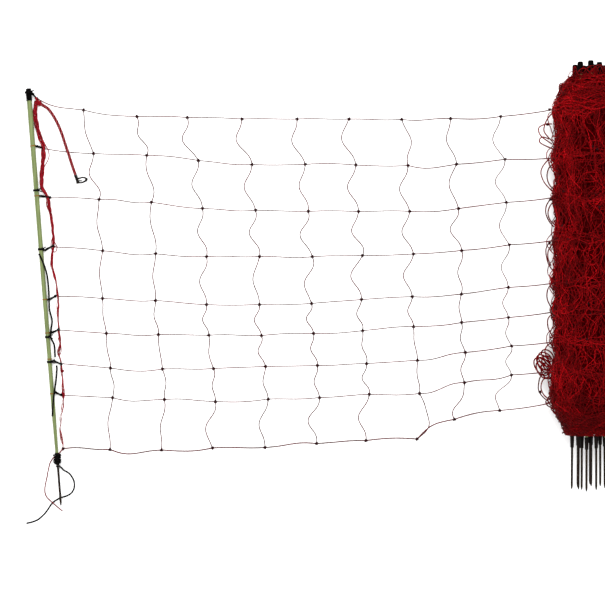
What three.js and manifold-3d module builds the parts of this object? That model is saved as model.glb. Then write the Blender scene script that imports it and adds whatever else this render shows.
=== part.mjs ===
// Electric sheep netting, 106 cm high, lying on a level floor: one end of the net is drawn out flat to its end
// post, and the rest is still rolled up round its posts. Millimetres, +Z up. The origin is the middle of the
// roll's flat underside, +X runs from the end post towards the roll, and +Y towards the caps of the posts.
import * as THREE from "three";
import { mergeVertices } from "three/addons/utils/BufferGeometryUtils.js";
import Module from "manifold-3d";

// Fits
const clearance = 0.3; // between any two pieces that touch
const roundSides = 8; // facets round a post, cap or socket
const cordSides = 8; // facets round a cord

// End post, measured up its axis from the mouth of its socket
const postLength = 1022; // from the socket to the cap
const postTopRadius = 7.2;
const postWaistRadius = 5.65;
const postWaistHeight = 107;
const postFootRadius = 4.3;
const postLean = THREE.MathUtils.degToRad(4.47);
const postFoot = [-1547, -567]; // where the axis meets the socket's mouth

// Cap, socket and spike, the same on every post
const capLength = 36;
const capRadius = 8.6;
const capSeatDepth = 26; // how far the post goes into the cap
const capChamfer = 1.5;
const socketLength = 35;
const socketRadius = 6.5;
const socketNeckRadius = 5;
const socketSeatDepth = 18; // how far the post goes into the socket
const spikeLength = 119; // below the socket
const spikeRadius = 3.3;
const spikeSeatDepth = 12; // how far the spike goes into the socket
const spikePoint = 9;
const spikeTipRadius = 1;

// Bands and strings round the end post, with their heights as shares of the post's length
const bandWidth = 3;
const bandThickness = 1;
const bandShares = [0.8718, 0.73, 0.5763, 0.4354, 0.3405, 0.2661, 0.1679];
const tieRadius = 1.7;
const tieSides = 6;
const tieShares = [1.0245, 0.865, 0.7348, 0.5705, 0.4295, 0.3278, 0.2573, 0.1742];
const footTieGap = 4; // below the socket
const tieReach = [
  [-1609, 458],
  [-1588, 316],
  [-1574, 174],
  [-1561, 29],
  [-1545, -113],
  [-1541, -211],
  [-1535, -309],
  [-1529, -401],
]; // where each string meets the end cord

// Cords
const endCordRadii = [4.4, 2.8, 1.45]; // the bunch of twines, its thinner stretch, and the last single twine
const topKnotRadius = 9.5;
const leadRopeRadius = 4;
const blackCordRadius = 2.1;
const twineRadius = 1.4;

// Netting
const lineThickness = 2.8;
const stayThickness = 2.4;
const knotWidth = 9;
const knotHeight = 5.6;
const stayGaps = [154, 148, 154, 151, 145, 147, 142, 136]; // from stay to stay as the net lies
const firstStay = -1416;
const lineStarts = [
  [-1613, 457],
  [-1587, 316],
  [-1574, 174],
  [-1559, 29],
  [-1545, -113],
  [-1540, -215],
  [-1535, -307],
  [-1529, -403],
  [-1531, -554],
];
const lineHeights = [
  [426, 407, 405, 400, 400, 400, 399, 402, 407],
  [300, 295, 280, 268, 269, 267, 265, 269, 283],
  [167, 159, 141, 136, 133, 132, 133, 141, 158],
  [18, 10, 1, 1, 1, 4, 9, 19, 35],
  [-120, -126, -138, -138, -135, -123, -115, -107, -88],
  [-221, -225, -227, -228, -222, -213, -202, -190, -175],
  [-322, -325, -323, -318, -315, -309, -299, -277, -258],
  [-408, -413, -419, -412, -407, -398, -396, -364, -342],
  [-558, -560, -554, -552, -541, -532, -528, -471, -445],
]; // of each line at each stay
const lineEnds = [422, 282, 170, 47, -75, -156, -242, -325, -414]; // where the lines meet the roll
const firstShifts = [-55, -26, -10, 0, 0, 11, 23, 30, 22]; // how far each line lies along X at the first stay
const lastShifts = [-22, -9, -6, 3, 0, 1, 10, 10, -25]; // and at the last stay
const bottomBunching = 4; // the bottom line shifts mostly near the roll
const lineSag = 4; // of a line between two stays
const stayBows = [
  [-6, -16, -10, -12, -4, -6, 7, -10],
  [3, 12, -10, -9, -8, -3, 8, -9],
  [-32, -26, -23, -23, -16, -7, -8, -24],
  [-32, -28, -25, -23, -19, -16, -12, -23],
  [-28, -24, -30, -26, -19, -14, -12, -28],
  [-29, -29, -27, -35, -15, -9, -17, -28],
  [22, -28, -28, -32, -15, -4, -4, 29],
  [-21, -27, -30, -17, -7, -9, -12, -12],
  [-28, -29, -23, -20, -16, -13, -17, -29],
]; // of each stay between two lines
const lineSteps = 3; // between two stays
const staySteps = 4; // between two lines
const riseStart = -400; // the net leaves the floor here and climbs to the roll
const riseEnd = -128;
const riseHeight = 84;
const floorGap = 0.2; // under the netting

// Roll
const rollHalfHeight = 95;
const rollHalfWidth = 134;
const rollUnderside = 87; // from the roll's middle down to its flat underside
const rollSides = 20;
const rollHeadCover = 49; // from the tops of the caps in the roll down to the netting's top
const rollFootCover = 13; // from the mouths of their sockets up to the netting's bottom
const rollFootProfile = [
  [83, 0],
  [90, 14],
  [112, 51],
  [140, 91],
  [142, 176],
  [134, 436],
]; // its half width, and how far above its bottom
const rollHeadProfile = [
  [134, 260],
  [133, 90],
  [108, 60],
  [96, 18],
  [66, 0],
]; // its half width, and how far below its top
const rolledPostTop = 549; // of a cap in the roll, before its post's own shift
const rolledPosts = [
  [-66, 100, -2],
  [-52, 120, 5],
  [-38, 98, -4],
  [-27, 118, -7],
  [-14.5, 98, 11],
  [0, 120, -3],
  [14, 99, 6],
  [28, 119, -8],
  [42, 97, 2],
  [57, 117, 9],
  [-44, 74, -5],
  [-8, 72, 4],
  [30, 74, -1],
]; // of each: X at the feet, height, shift along Y
const capSpread = 0.85; // the posts stand this much closer together at their caps
const stubLength = 60; // of a rolled post that shows past the netting, with its hidden root

const wasm = await Module();
wasm.setup();

const matte = (color, roughness, metalness = 0) =>
  new THREE.MeshStandardMaterial({ color, roughness, metalness });
const finishes = {
  greenPlastic: () => matte(0x93a86a, 0.5),
  blackPlastic: () => matte(0x151313, 0.55),
  darkPlastic: () => matte(0x2a201c, 0.6),
  steel: () => matte(0x4a4440, 0.45, 0.8),
  brownBand: () => matte(0x9a5a32, 0.6),
  blackString: () => matte(0x121212, 0.85),
  redTwine: () => matte(0x8c1020, 0.8),
  netTwine: () => matte(0x7d4348, 0.8),
  bundle: () => matte(0x5c0a14, 0.9),
  clipSteel: () => matte(0x5a5650, 0.4, 0.9),
};

const model = new THREE.Group();
const addPiece = (name, geometry, finish, parent = model) => {
  const mesh = new THREE.Mesh(geometry, finishes[finish]());
  mesh.name = name;
  parent.add(mesh);
  return mesh;
};

// A closed geometry as a solid that can be joined and cut.
function solidOf(geometry, matrix = new THREE.Matrix4()) {
  const bare = geometry.clone().applyMatrix4(matrix);
  bare.deleteAttribute("normal");
  bare.deleteAttribute("uv");
  const merged = mergeVertices(bare, 1e-4);
  return new wasm.Manifold(
    new wasm.Mesh({
      numProp: 3,
      vertProperties: merged.attributes.position.array,
      triVerts: new Uint32Array(merged.index.array),
    }),
  );
}

function geometryOf(solid) {
  const mesh = solid.getMesh();
  const geometry = new THREE.BufferGeometry();
  geometry.setAttribute(
    "position",
    new THREE.BufferAttribute(mesh.vertProperties, 3),
  );
  geometry.setIndex(new THREE.BufferAttribute(mesh.triVerts, 1));
  geometry.computeVertexNormals();
  return geometry;
}

const join = (solids) => wasm.Manifold.union(solids);

// A route that is straight from point to point, so that its corners stay where they are.
class Route extends THREE.Curve {
  constructor(points) {
    super();
    this.points = points;
  }
  getPoint(share, target = new THREE.Vector3()) {
    const spans = this.points.length - 1;
    const place = Math.min(Math.max(share, 0), 1) * spans;
    const index = Math.min(Math.floor(place), spans - 1);
    return target.lerpVectors(
      this.points[index],
      this.points[index + 1],
      place - index,
    );
  }
  getUtoTmapping(share) {
    return share;
  }
}

// The outline of a cord: a polygon with one side facing down.
function cordOutline(radius, sides) {
  const outline = new THREE.Shape();
  for (let side = 0; side < sides; side += 1) {
    const angle = ((side + 0.5) / sides) * 2 * Math.PI;
    const x = radius * Math.cos(angle);
    const y = radius * Math.sin(angle);
    if (side === 0) outline.moveTo(x, y);
    else outline.lineTo(x, y);
  }
  outline.closePath();
  return outline;
}

const straightTube = (points, radius, sides) =>
  new THREE.ExtrudeGeometry(cordOutline(radius, sides), {
    extrudePath: new Route(points),
    steps: points.length - 1,
  });

const toVectors = (points) =>
  points.map(([x, y, z]) => new THREE.Vector3(x, y, z));

// A cord through hand-chosen points, with a step every two and a half diameters. Growth makes it thicker only.
function cord(points, radius, sides = cordSides, growth = 0) {
  const curve = new THREE.CatmullRomCurve3(
    toVectors(points),
    false,
    "centripetal",
  );
  const steps = Math.max(3, Math.round(curve.getLength() / (5 * radius)));
  return straightTube(curve.getSpacedPoints(steps), radius + growth, sides);
}

const turned = (profile, sides = roundSides) =>
  new THREE.LatheGeometry(
    profile.map(([radius, height]) => new THREE.Vector2(radius, height)),
    sides,
  );

// A ring of square section round the Y axis.
const band = (inner, outer, low, high) =>
  turned([
    [inner, low],
    [outer, low],
    [outer, high],
    [inner, high],
    [inner, low],
  ]);

// A string's ring round the Y axis, on a round piece of the given radius.
function stringRing(pieceRadius, height) {
  const middle = pieceRadius + clearance + tieRadius;
  const profile = [];
  for (let side = 0; side <= tieSides; side += 1) {
    const angle = (side / tieSides) * 2 * Math.PI;
    profile.push([
      middle + tieRadius * Math.cos(angle),
      height + tieRadius * Math.sin(angle),
    ]);
  }
  return turned(profile);
}

// End post: its own group holds it along Y, and the group lays it on the floor.
const postAxisHeight = capRadius + 2 * (clearance + tieRadius);
const endPost = new THREE.Group();
endPost.position.set(postFoot[0], postFoot[1], postAxisHeight);
endPost.rotation.z = postLean;
model.add(endPost);
endPost.updateMatrixWorld(true);

function postRadiusAt(height) {
  if (height < postWaistHeight)
    return THREE.MathUtils.mapLinear(
      height,
      0,
      postWaistHeight,
      postFootRadius,
      postWaistRadius,
    );
  return THREE.MathUtils.mapLinear(
    height,
    postWaistHeight,
    postLength,
    postWaistRadius,
    postTopRadius,
  );
}

function postGeometry() {
  const low = clearance - socketSeatDepth;
  const high = postLength + capSeatDepth - clearance;
  return turned([
    [0, low],
    [postFootRadius, low],
    [postFootRadius, 0],
    [postWaistRadius, postWaistHeight],
    [postTopRadius, postLength],
    [postTopRadius, high],
    [0, high],
  ]);
}

// A cap whose mouth is at the given height, with the seat that the post goes into.
function capGeometry(mouth) {
  const top = mouth + capLength;
  const seatRadius = postTopRadius + clearance;
  return turned([
    [0, mouth + capSeatDepth],
    [seatRadius, mouth + capSeatDepth],
    [seatRadius, mouth],
    [capRadius, mouth],
    [capRadius, top - capChamfer],
    [capRadius - capChamfer, top],
    [0, top],
  ]);
}

// The socket's outside from its neck up to its mouth at height 0, and the seat for the post.
const socketMouth = [
  [socketNeckRadius, -socketLength],
  [socketRadius, 0],
  [postFootRadius + clearance, 0],
  [postFootRadius + clearance, -socketSeatDepth],
  [0, -socketSeatDepth],
];

function socketGeometry() {
  const spikeSeat = spikeSeatDepth - socketLength;
  return turned([
    [0, spikeSeat],
    [spikeRadius + clearance, spikeSeat],
    [spikeRadius + clearance, -socketLength],
    ...socketMouth,
  ]);
}

const spikeEnd = -socketLength - spikeLength;
const spikeTip = [
  [0, spikeEnd],
  [spikeTipRadius, spikeEnd],
  [spikeRadius, spikeEnd + spikePoint],
];

function spikeGeometry() {
  const high = spikeSeatDepth - socketLength - clearance;
  return turned([...spikeTip, [spikeRadius, high], [0, high]]);
}

// A rolled post's foot: its socket and spike in one.
const footGeometry = () =>
  turned([...spikeTip, [spikeRadius, -socketLength], ...socketMouth]);

addPiece("end_post", postGeometry(), "greenPlastic", endPost);
addPiece("end_post_cap", capGeometry(postLength), "blackPlastic", endPost);
addPiece("end_post_socket", socketGeometry(), "darkPlastic", endPost);
addPiece("end_post_spike", spikeGeometry(), "steel", endPost);
bandShares.forEach((share, index) => {
  const height = share * postLength;
  const inner = postRadiusAt(height + bandWidth / 2) + clearance;
  const ring = band(
    inner,
    inner + bandThickness,
    height - bandWidth / 2,
    height + bandWidth / 2,
  );
  addPiece(`post_band_${index + 2}`, ring, "brownBand", endPost);
});

// End cord: a thick bunch of twines, a thinner stretch and one last twine, from the top knot to the socket.
const endCordRoute = [
  [
    [-1607, 452],
    [-1611, 409],
    [-1598, 354],
    [-1587, 319],
    [-1587, 287],
    [-1591, 241],
    [-1591, 203],
    [-1575, 174],
    [-1570, 144],
    [-1561, 87],
    [-1558, 32],
    [-1563, -20],
    [-1550, -70],
    [-1547, -92],
  ],
  [
    [-1547, -92],
    [-1545, -112],
    [-1544, -160],
    [-1542, -212],
    [-1538, -252],
    [-1541, -278],
    [-1535, -310],
    [-1532, -357],
    [-1529, -415],
  ],
  [
    [-1529, -415],
    [-1536, -467],
    [-1538, -499],
    [-1531, -552],
    [-1541, -566],
  ],
];

function endCordSolid(growth) {
  const stretches = endCordRoute.map((points, index) => {
    const radius = endCordRadii[index];
    const laid = points.map(([x, y]) => [x, y, radius]);
    return solidOf(cord(laid, radius, cordSides, growth));
  });
  const [x, y] = endCordRoute[0][0];
  const knot = new THREE.SphereGeometry(topKnotRadius + growth, 10, 8);
  const place = new THREE.Matrix4().makeTranslation(x, y, topKnotRadius);
  return join([...stretches, solidOf(knot, place)]);
}
const endCord = endCordSolid(0);
const endCordRoom = endCordSolid(clearance);
addPiece("end_cord", geometryOf(endCord), "redTwine");

// Strings from the post to the end cord: a ring round the post or cap, and a tail.
tieShares.forEach((share, index) => {
  const height = share * postLength;
  const pieceRadius =
    height > postLength ? capRadius : postRadiusAt(height + tieRadius);
  const middle = pieceRadius + clearance + tieRadius;
  const ring = solidOf(stringRing(pieceRadius, height), endPost.matrixWorld);
  const root = endPost.localToWorld(new THREE.Vector3(middle, height, 0));
  const [x, y] = tieReach[index];
  const reachHeight = index === 0 ? topKnotRadius : endCordRadii[1];
  const tip = new THREE.Vector3(x, y, reachHeight);
  const bend = root.clone().lerp(tip, 0.5);
  const tail = solidOf(straightTube([root, bend, tip], tieRadius, tieSides));
  const tie = join([ring, tail]).subtract(endCordRoom);
  addPiece(`post_tie_${index + 1}`, geometryOf(tie), "blackString");
});
const footTieHeight = -socketLength - footTieGap;
addPiece(
  "foot_tie",
  stringRing(spikeRadius, footTieHeight),
  "blackString",
  endPost,
);

// Black cord along the post, in two stretches. Each point is its height up the post, how far it lies to the
// right of the axis, and how far above the axis.
const postCordRoutes = {
  post_cord_upper: [
    [578, -6, 8.6],
    [552, 4.3, 9.6],
    [515, 12.4, 6],
    [471, 13.6, 3.6],
    [439, 12.4, 5],
    [414, 11.5, 3],
    [383, 16, 0],
    [358, 12, 6],
    [335, 9.5, 9.4],
    [312, 17, 2],
    [277, 17, 2],
  ],
  post_cord_lower: [
    [252, 19, 1],
    [242, 19, 0],
    [209, 14.2, 2],
    [178, 8, 10],
    [140, 0.9, 9],
    [107, -3.8, 7.8],
  ],
};
for (const [name, points] of Object.entries(postCordRoutes)) {
  const laid = points.map(([height, right, above]) => [right, height, above]);
  addPiece(name, cord(laid, blackCordRadius), "blackString", endPost);
}

// Free cords: the lead rope, the cord and the twine at the foot
const leadRope = [
  [-1599, 446.5, 8.6],
  [-1592, 442, 6],
  [-1584, 437, 4.4],
  [-1572, 428, 4],
  [-1560, 412, 4],
  [-1550, 395, 4],
  [-1541, 376, 4],
  [-1533, 356, 4.2],
  [-1526, 335, 6.8],
  [-1519, 314, 8.2],
  [-1512, 293, 6.8],
  [-1506, 273, 4.2],
  [-1500, 255, 4],
  [-1493.8, 237.4, 4.4],
];
addPiece("lead_rope", cord(leadRope, leadRopeRadius), "redTwine");

const footCord = [
  [-1539.2, -606.9, 7.4],
  [-1534, -611, 4.2],
  [-1528, -618, 2.4],
  [-1514, -626, 2.1],
  [-1504, -638, 2.1],
  [-1498, -652, 2.1],
  [-1498, -670, 2.1],
  [-1506, -684, 2.1],
  [-1518, -692, 2.1],
  [-1534, -697, 2.1],
  [-1545, -702, 2.1],
  [-1556, -709, 2.1],
  [-1565, -718, 2.1],
  [-1572, -729, 2.1],
  [-1580, -740, 2.1],
  [-1588, -749, 2.1],
  [-1598, -758, 2.1],
  [-1608, -764, 2.1],
  [-1622, -769, 2.1],
  [-1636, -772, 2.1],
];
addPiece("foot_cord", cord(footCord, blackCordRadius), "blackString");

const tailTwine = [
  [-1553.5, -577, 11.2],
  [-1560, -585, 8],
  [-1567, -595, 4],
  [-1570, -605, 2],
  [-1574, -622, 1.6],
  [-1577, -640, 1.6],
  [-1581, -657, 1.6],
  [-1583, -672, 1.6],
  [-1582, -686, 1.6],
  [-1577, -696, 4],
  [-1569, -704, 6.2],
  [-1561, -711, 6.6],
  [-1553, -718, 6],
  [-1546, -725, 3],
  [-1539, -731, 1.6],
  [-1532, -736, 1.6],
];
addPiece("tail_twine", cord(tailTwine, twineRadius), "redTwine");

// Metal connector on the lead rope: a crimped barrel and a wire loop beside it.
const clipBarrel = [
  [-1493.5, 236.5, 4.6],
  [-1486, 213, 4.6],
];
const clipBarrelRadius = 4.6;
const clipWireRadius = 1.6;
const clipLoop = [
  [-1490, 227, 3.6],
  [-1482, 229, 2.4],
  [-1474, 231, 1.6],
  [-1466, 229, 1.6],
  [-1461, 224, 1.6],
  [-1464, 218, 1.6],
  [-1471, 214.5, 1.6],
  [-1479, 213, 2.4],
  [-1487, 214, 3.6],
];
addPiece(
  "lead_clip",
  geometryOf(
    join([
      solidOf(straightTube(toVectors(clipBarrel), clipBarrelRadius, cordSides)),
      solidOf(cord(clipLoop, clipWireRadius, tieSides)),
    ]),
  ),
  "clipSteel",
);

// Roll: a turned bundle, flattened, with a flat underside. Growth makes it larger all round.
const rollTop = rolledPostTop - rollHeadCover;
const rollBottom = rolledPostTop - capLength - postLength + rollFootCover;
const rollProfile = [
  ...rollFootProfile.map(([half, up]) => [half, rollBottom + up]),
  ...rollHeadProfile.map(([half, down]) => [half, rollTop - down]),
];

function rollSolid(growth) {
  const ends = [rollProfile[0][1] - growth, rollProfile.at(-1)[1] + growth];
  const profile = [
    [0, ends[0]],
    ...rollProfile.map(([radius, along], index) => {
      if (index === 0) return [radius + growth, ends[0]];
      if (index === rollProfile.length - 1) return [radius + growth, ends[1]];
      return [radius + growth, along];
    }),
    [0, ends[1]],
  ];
  const squash = new THREE.Matrix4().makeScale(
    1,
    1,
    rollHalfHeight / rollHalfWidth,
  );
  squash.setPosition(0, 0, rollUnderside);
  const slab = 2 * postLength;
  const floor = new THREE.BoxGeometry(slab, slab, slab);
  const below = new THREE.Matrix4().makeTranslation(0, 0, -slab / 2);
  return solidOf(turned(profile, rollSides), squash).subtract(
    solidOf(floor, below),
  );
}

// The posts in the roll fan out a little towards their feet.
const rolledPostSpan = postLength + socketLength + spikeLength + capLength;
const rolledPostGroups = rolledPosts.map(([x, height, shift]) => {
  const mouth = rolledPostTop + shift - capLength - postLength;
  const group = new THREE.Group();
  group.position.set(x, mouth, height);
  group.rotation.z = Math.atan((x * (1 - capSpread)) / rolledPostSpan);
  model.add(group);
  group.updateMatrixWorld(true);
  return group;
});

// The ends of the rolled posts that come out of the netting belong to the core.
function postStubs(group) {
  const capEnd = postLength + capSeatDepth - clearance;
  const footEnd = clearance - socketSeatDepth;
  const top = turned([
    [0, capEnd - stubLength],
    [postTopRadius, capEnd - stubLength],
    [postTopRadius, capEnd],
    [0, capEnd],
  ]);
  const foot = turned([
    [0, footEnd],
    [postFootRadius, footEnd],
    [postFootRadius, footEnd + stubLength],
    [0, footEnd + stubLength],
  ]);
  return [solidOf(top, group.matrixWorld), solidOf(foot, group.matrixWorld)];
}
const rollCore = join([rollSolid(0), ...rolledPostGroups.flatMap(postStubs)]);
addPiece("roll_core", geometryOf(rollCore), "bundle");
rolledPostGroups.forEach((group, index) => {
  addPiece(
    `roll_cap_${index + 1}`,
    capGeometry(postLength),
    "blackPlastic",
    group,
  );
  addPiece(`roll_foot_${index + 1}`, footGeometry(), "steel", group);
});

// Netting: each line and stay is a twine of square section, and a knot sits on each crossing.
const stayPlaces = stayGaps.reduce(
  (places, gap) => [...places, places.at(-1) + gap],
  [firstStay],
);

// The height of the twine's middle above the floor: it climbs from the floor to the roll.
function layHeight(x) {
  const share = Math.max(0, (x - riseStart) / (riseEnd - riseStart));
  return floorGap + lineThickness / 2 + riseHeight * share ** 2;
}

function knotPlace(line, stay) {
  const share = stay / (stayPlaces.length - 1);
  const bottom = line === lineHeights.length - 1;
  const turn = bottom ? share ** bottomBunching : share;
  const shift = THREE.MathUtils.lerp(firstShifts[line], lastShifts[line], turn);
  return new THREE.Vector2(stayPlaces[stay] + shift, lineHeights[line][stay]);
}

function linePoints(line) {
  const plan = [
    new THREE.Vector2(...lineStarts[line]),
    ...stayPlaces.map((place, stay) => knotPlace(line, stay)),
    new THREE.Vector2(riseEnd + 20, lineEnds[line]),
  ];
  const curve = new THREE.SplineCurve(plan);
  const steps = (plan.length - 1) * lineSteps;
  const points = [];
  for (let step = 0; step <= steps; step += 1) {
    const { x, y } = curve.getPoint(step / steps);
    const share = (step % lineSteps) / lineSteps;
    const sag = lineSag * 4 * share * (1 - share);
    points.push(new THREE.Vector3(x, y - sag, layHeight(x)));
  }
  return points;
}

function stayPoints(stay) {
  const points = [];
  stayBows[stay].forEach((bow, span) => {
    const upper = knotPlace(span, stay);
    const lower = knotPlace(span + 1, stay);
    const first = span === 0 ? 0 : 1;
    for (let step = first; step <= staySteps; step += 1) {
      const share = step / staySteps;
      const place = upper.clone().lerp(lower, share);
      const x = place.x + bow * Math.sin(Math.PI * share);
      points.push(new THREE.Vector3(x, place.y, layHeight(x)));
    }
  });
  return points;
}

function knotSolid(line, stay) {
  const { x, y } = knotPlace(line, stay);
  const place = new THREE.Matrix4().makeScale(
    knotWidth / 2,
    knotWidth / 2,
    knotHeight / 2,
  );
  const lift = (knotHeight - lineThickness) / 2;
  place.setPosition(x, y, layHeight(x) + lift);
  return solidOf(new THREE.OctahedronGeometry(1), place);
}

const squareTwine = (points, thickness) =>
  solidOf(straightTube(points, thickness / Math.SQRT2, 4));
const netPieces = [];
lineHeights.forEach((heights, line) => {
  netPieces.push(squareTwine(linePoints(line), lineThickness));
  heights.forEach((height, stay) => netPieces.push(knotSolid(line, stay)));
});
stayBows.forEach((bows, stay) => {
  netPieces.push(squareTwine(stayPoints(stay), stayThickness));
});
const netting = join(netPieces)
  .subtract(rollSolid(clearance))
  .subtract(endCordRoom);
addPiece("netting", geometryOf(netting), "netTwine");

export default model;
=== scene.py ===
import math
import bpy
import numpy as np
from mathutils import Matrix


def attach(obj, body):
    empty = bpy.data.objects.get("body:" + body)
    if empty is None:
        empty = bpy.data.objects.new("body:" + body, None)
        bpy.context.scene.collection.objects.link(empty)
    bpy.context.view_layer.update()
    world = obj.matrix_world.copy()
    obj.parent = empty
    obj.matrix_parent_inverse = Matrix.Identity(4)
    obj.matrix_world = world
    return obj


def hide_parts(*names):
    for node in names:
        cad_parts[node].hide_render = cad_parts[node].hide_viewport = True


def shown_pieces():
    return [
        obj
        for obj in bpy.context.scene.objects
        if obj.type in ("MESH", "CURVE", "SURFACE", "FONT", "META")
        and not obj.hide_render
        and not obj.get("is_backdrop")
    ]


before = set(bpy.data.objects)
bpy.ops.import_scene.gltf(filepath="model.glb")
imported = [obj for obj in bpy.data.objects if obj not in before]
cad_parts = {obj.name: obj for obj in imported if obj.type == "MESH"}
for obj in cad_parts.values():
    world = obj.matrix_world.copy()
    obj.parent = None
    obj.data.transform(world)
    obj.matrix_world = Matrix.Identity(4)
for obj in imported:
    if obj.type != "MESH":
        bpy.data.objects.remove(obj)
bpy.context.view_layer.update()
scene = bpy.context.scene
mm = 0.001
full = 2 * math.pi

# camera: straight above the net, as in the photograph
view = {
    "eye": (-0.836, -0.132, 6.5),
    "floorWidth": 1.7545,  # metres of floor from one side of the picture to the other
    "pixels": 605,  # from one side of the picture to the other
    "sensor": 36.0,
}
cameraData = bpy.data.cameras.new("camera")
cameraData.sensor_width = view["sensor"]
cameraData.lens = view["sensor"] * view["eye"][2] / view["floorWidth"]
cameraData.clip_end = 60
camera = bpy.data.objects.new("camera", cameraData)
camera.location = view["eye"]
scene.collection.objects.link(camera)
scene.camera = camera


def fromPicture(across, down, height=0.0):
    # Where a point of the picture lies at a height: its offset from the middle shrinks towards the camera
    share = (view["eye"][2] - height) / view["eye"][2]
    pixel = view["floorWidth"] / view["pixels"]
    middle = view["pixels"] / 2
    return (
        view["eye"][0] + (across - middle) * pixel * share,
        view["eye"][1] + (middle - down) * pixel * share,
        height,
    )


def pictureRoute(route):
    # A route of (pixels across, pixels down, height in mm) as places in metres
    return np.array([fromPicture(across, down, height * mm) for across, down, height in route])


# shapes
def skin(rings, reach, closed=False):
    # Joins each ring of points to the next one with quads. rings is (pieces, steps, sides, 3), and reach is
    # the distance along each piece. An open piece gets a flat face at each end
    count, steps, sides = rings.shape[:3]
    index = np.arange(count * steps * sides).reshape(count, steps, sides)
    first = index if closed else index[:, :-1]
    second = np.roll(index, -1, 1) if closed else index[:, 1:]
    quads = np.stack([first, second, np.roll(second, -1, 2), np.roll(first, -1, 2)], -1)
    low = np.broadcast_to(reach[:, :-1, None], first.shape)
    high = np.broadcast_to(reach[:, 1:, None], first.shape)
    near = np.broadcast_to(np.arange(sides) / sides, first.shape)
    far = near + 1 / sides
    uv = np.stack([near, low, near, high, far, high, far, low], -1)
    faces = [(quads.reshape(-1, 4), uv.reshape(-1, 4, 2))]
    if not closed:
        ends = np.concatenate([index[:, 0], index[:, -1, ::-1]])
        faces.append((ends, np.full((len(ends), sides, 2), 0.5)))
    return {"points": rings.reshape(-1, 3), "faces": faces, "pieces": count}


def unit(vectors):
    # Each vector over its own length
    return vectors / np.maximum(np.linalg.norm(vectors, axis=-1, keepdims=True), 1e-12)


def frames(paths, up, closed=False):
    # The direction of each path, its side (direction crossed with up) and what is over it (side crossed with
    # direction), with the distance along it
    paths = np.asarray(paths, float)
    paths = paths[None] if paths.ndim == 2 else paths
    if closed:
        along = unit(np.roll(paths, -1, 1) - np.roll(paths, 1, 1))
        chords = np.roll(paths, -1, 1) - paths
    else:
        along = unit(np.gradient(paths, axis=1))
        chords = np.diff(paths, axis=1)
    side = unit(np.cross(along, np.broadcast_to(up, paths.shape)))
    over = np.cross(side, along)
    reach = np.cumsum(np.linalg.norm(chords, axis=-1), axis=1)
    reach = np.concatenate([np.zeros((len(paths), 1)), reach], 1)
    return paths, side, over, reach


def tube(paths, radius, sides, up=(0, 0, 1), closed=False):
    # A round profile carried along each path: path + radius (side cos a + over sin a)
    paths, side, over, reach = frames(paths, up, closed)
    radius = np.broadcast_to(radius, paths.shape[:2])[..., None, None]
    angle = np.arange(sides) / sides * full
    around = side[:, :, None] * np.cos(angle)[:, None] + over[:, :, None] * np.sin(angle)[:, None]
    return skin(paths[:, :, None] + radius * around, reach, closed)


def strandPaths(path, count, offset, pitch, up=(0, 0, 1), phase=0.0):
    # Strands laid round a path: path + offset (side cos a + over sin a), a = 2 pi (distance / pitch + share)
    paths, side, over, reach = frames(path, up)
    turn = reach[0][: paths.shape[1]] / pitch * full + phase
    angle = turn[None] + np.arange(count)[:, None] / count * full
    offset = np.broadcast_to(offset, paths.shape[1])[None, :, None]
    return paths + offset * (side * np.cos(angle)[..., None] + over * np.sin(angle)[..., None])


def laidRope(path, radius, pitch, up=(0, 0, 1), sides=7, offset=0.5, strand=0.52):
    # Three strands laid round the rope's path: offset and strand are their distance and radius, as shares
    # of the rope's radius. A larger offset shows the lay more
    return tube(strandPaths(path, 3, radius * offset, pitch, up), radius * strand, sides, up)


def turned(profile, origin, axis, sides=32):
    # A profile of (radius, height) turned round an axis: origin + axis height + radius (side cos a + over
    # sin a)
    profile = np.asarray(profile, float)
    axis = unit(np.asarray(axis, float))
    side = unit(np.cross(axis, (0, 0, 1.0)))
    over = np.cross(side, axis)
    angle = np.arange(sides) / sides * full
    around = np.cos(angle)[:, None] * side + np.sin(angle)[:, None] * over
    rings = np.asarray(origin) + profile[:, 1, None, None] * axis + profile[:, 0, None, None] * around
    steps = np.linalg.norm(np.diff(profile, axis=0), axis=1)
    reach = np.concatenate([[0], np.cumsum(steps)])
    return skin(rings[None], reach[None])


def smoothPath(points, step):
    # A curve through the points, each span the cubic whose end slopes are half the chord between the points
    # beside it, cut into equal steps
    p = np.asarray(points, float)
    p = np.concatenate([[2 * p[0] - p[1]], p, [2 * p[-1] - p[-2]]])
    a, b, c, d = p[:-3, None], p[1:-2, None], p[2:-1, None], p[3:, None]
    t = (np.arange(12) / 12)[None, :, None]
    fine = 0.5 * (2 * b + (c - a) * t + (2 * a - 5 * b + 4 * c - d) * t**2 + (3 * b - a - 3 * c + d) * t**3)
    fine = np.concatenate([fine.reshape(-1, p.shape[1]), p[-2:-1]])
    return evenSteps(fine, step)


def evenSteps(points, step):
    # The same line of points, cut again into equal steps of about this length
    chords = np.linalg.norm(np.diff(points, axis=0), axis=1)
    length = np.concatenate([[0], np.cumsum(chords)])
    even = np.linspace(0, length[-1], max(2, round(length[-1] / step) + 1))
    return np.stack([np.interp(even, length, column) for column in points.T], 1)


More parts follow.
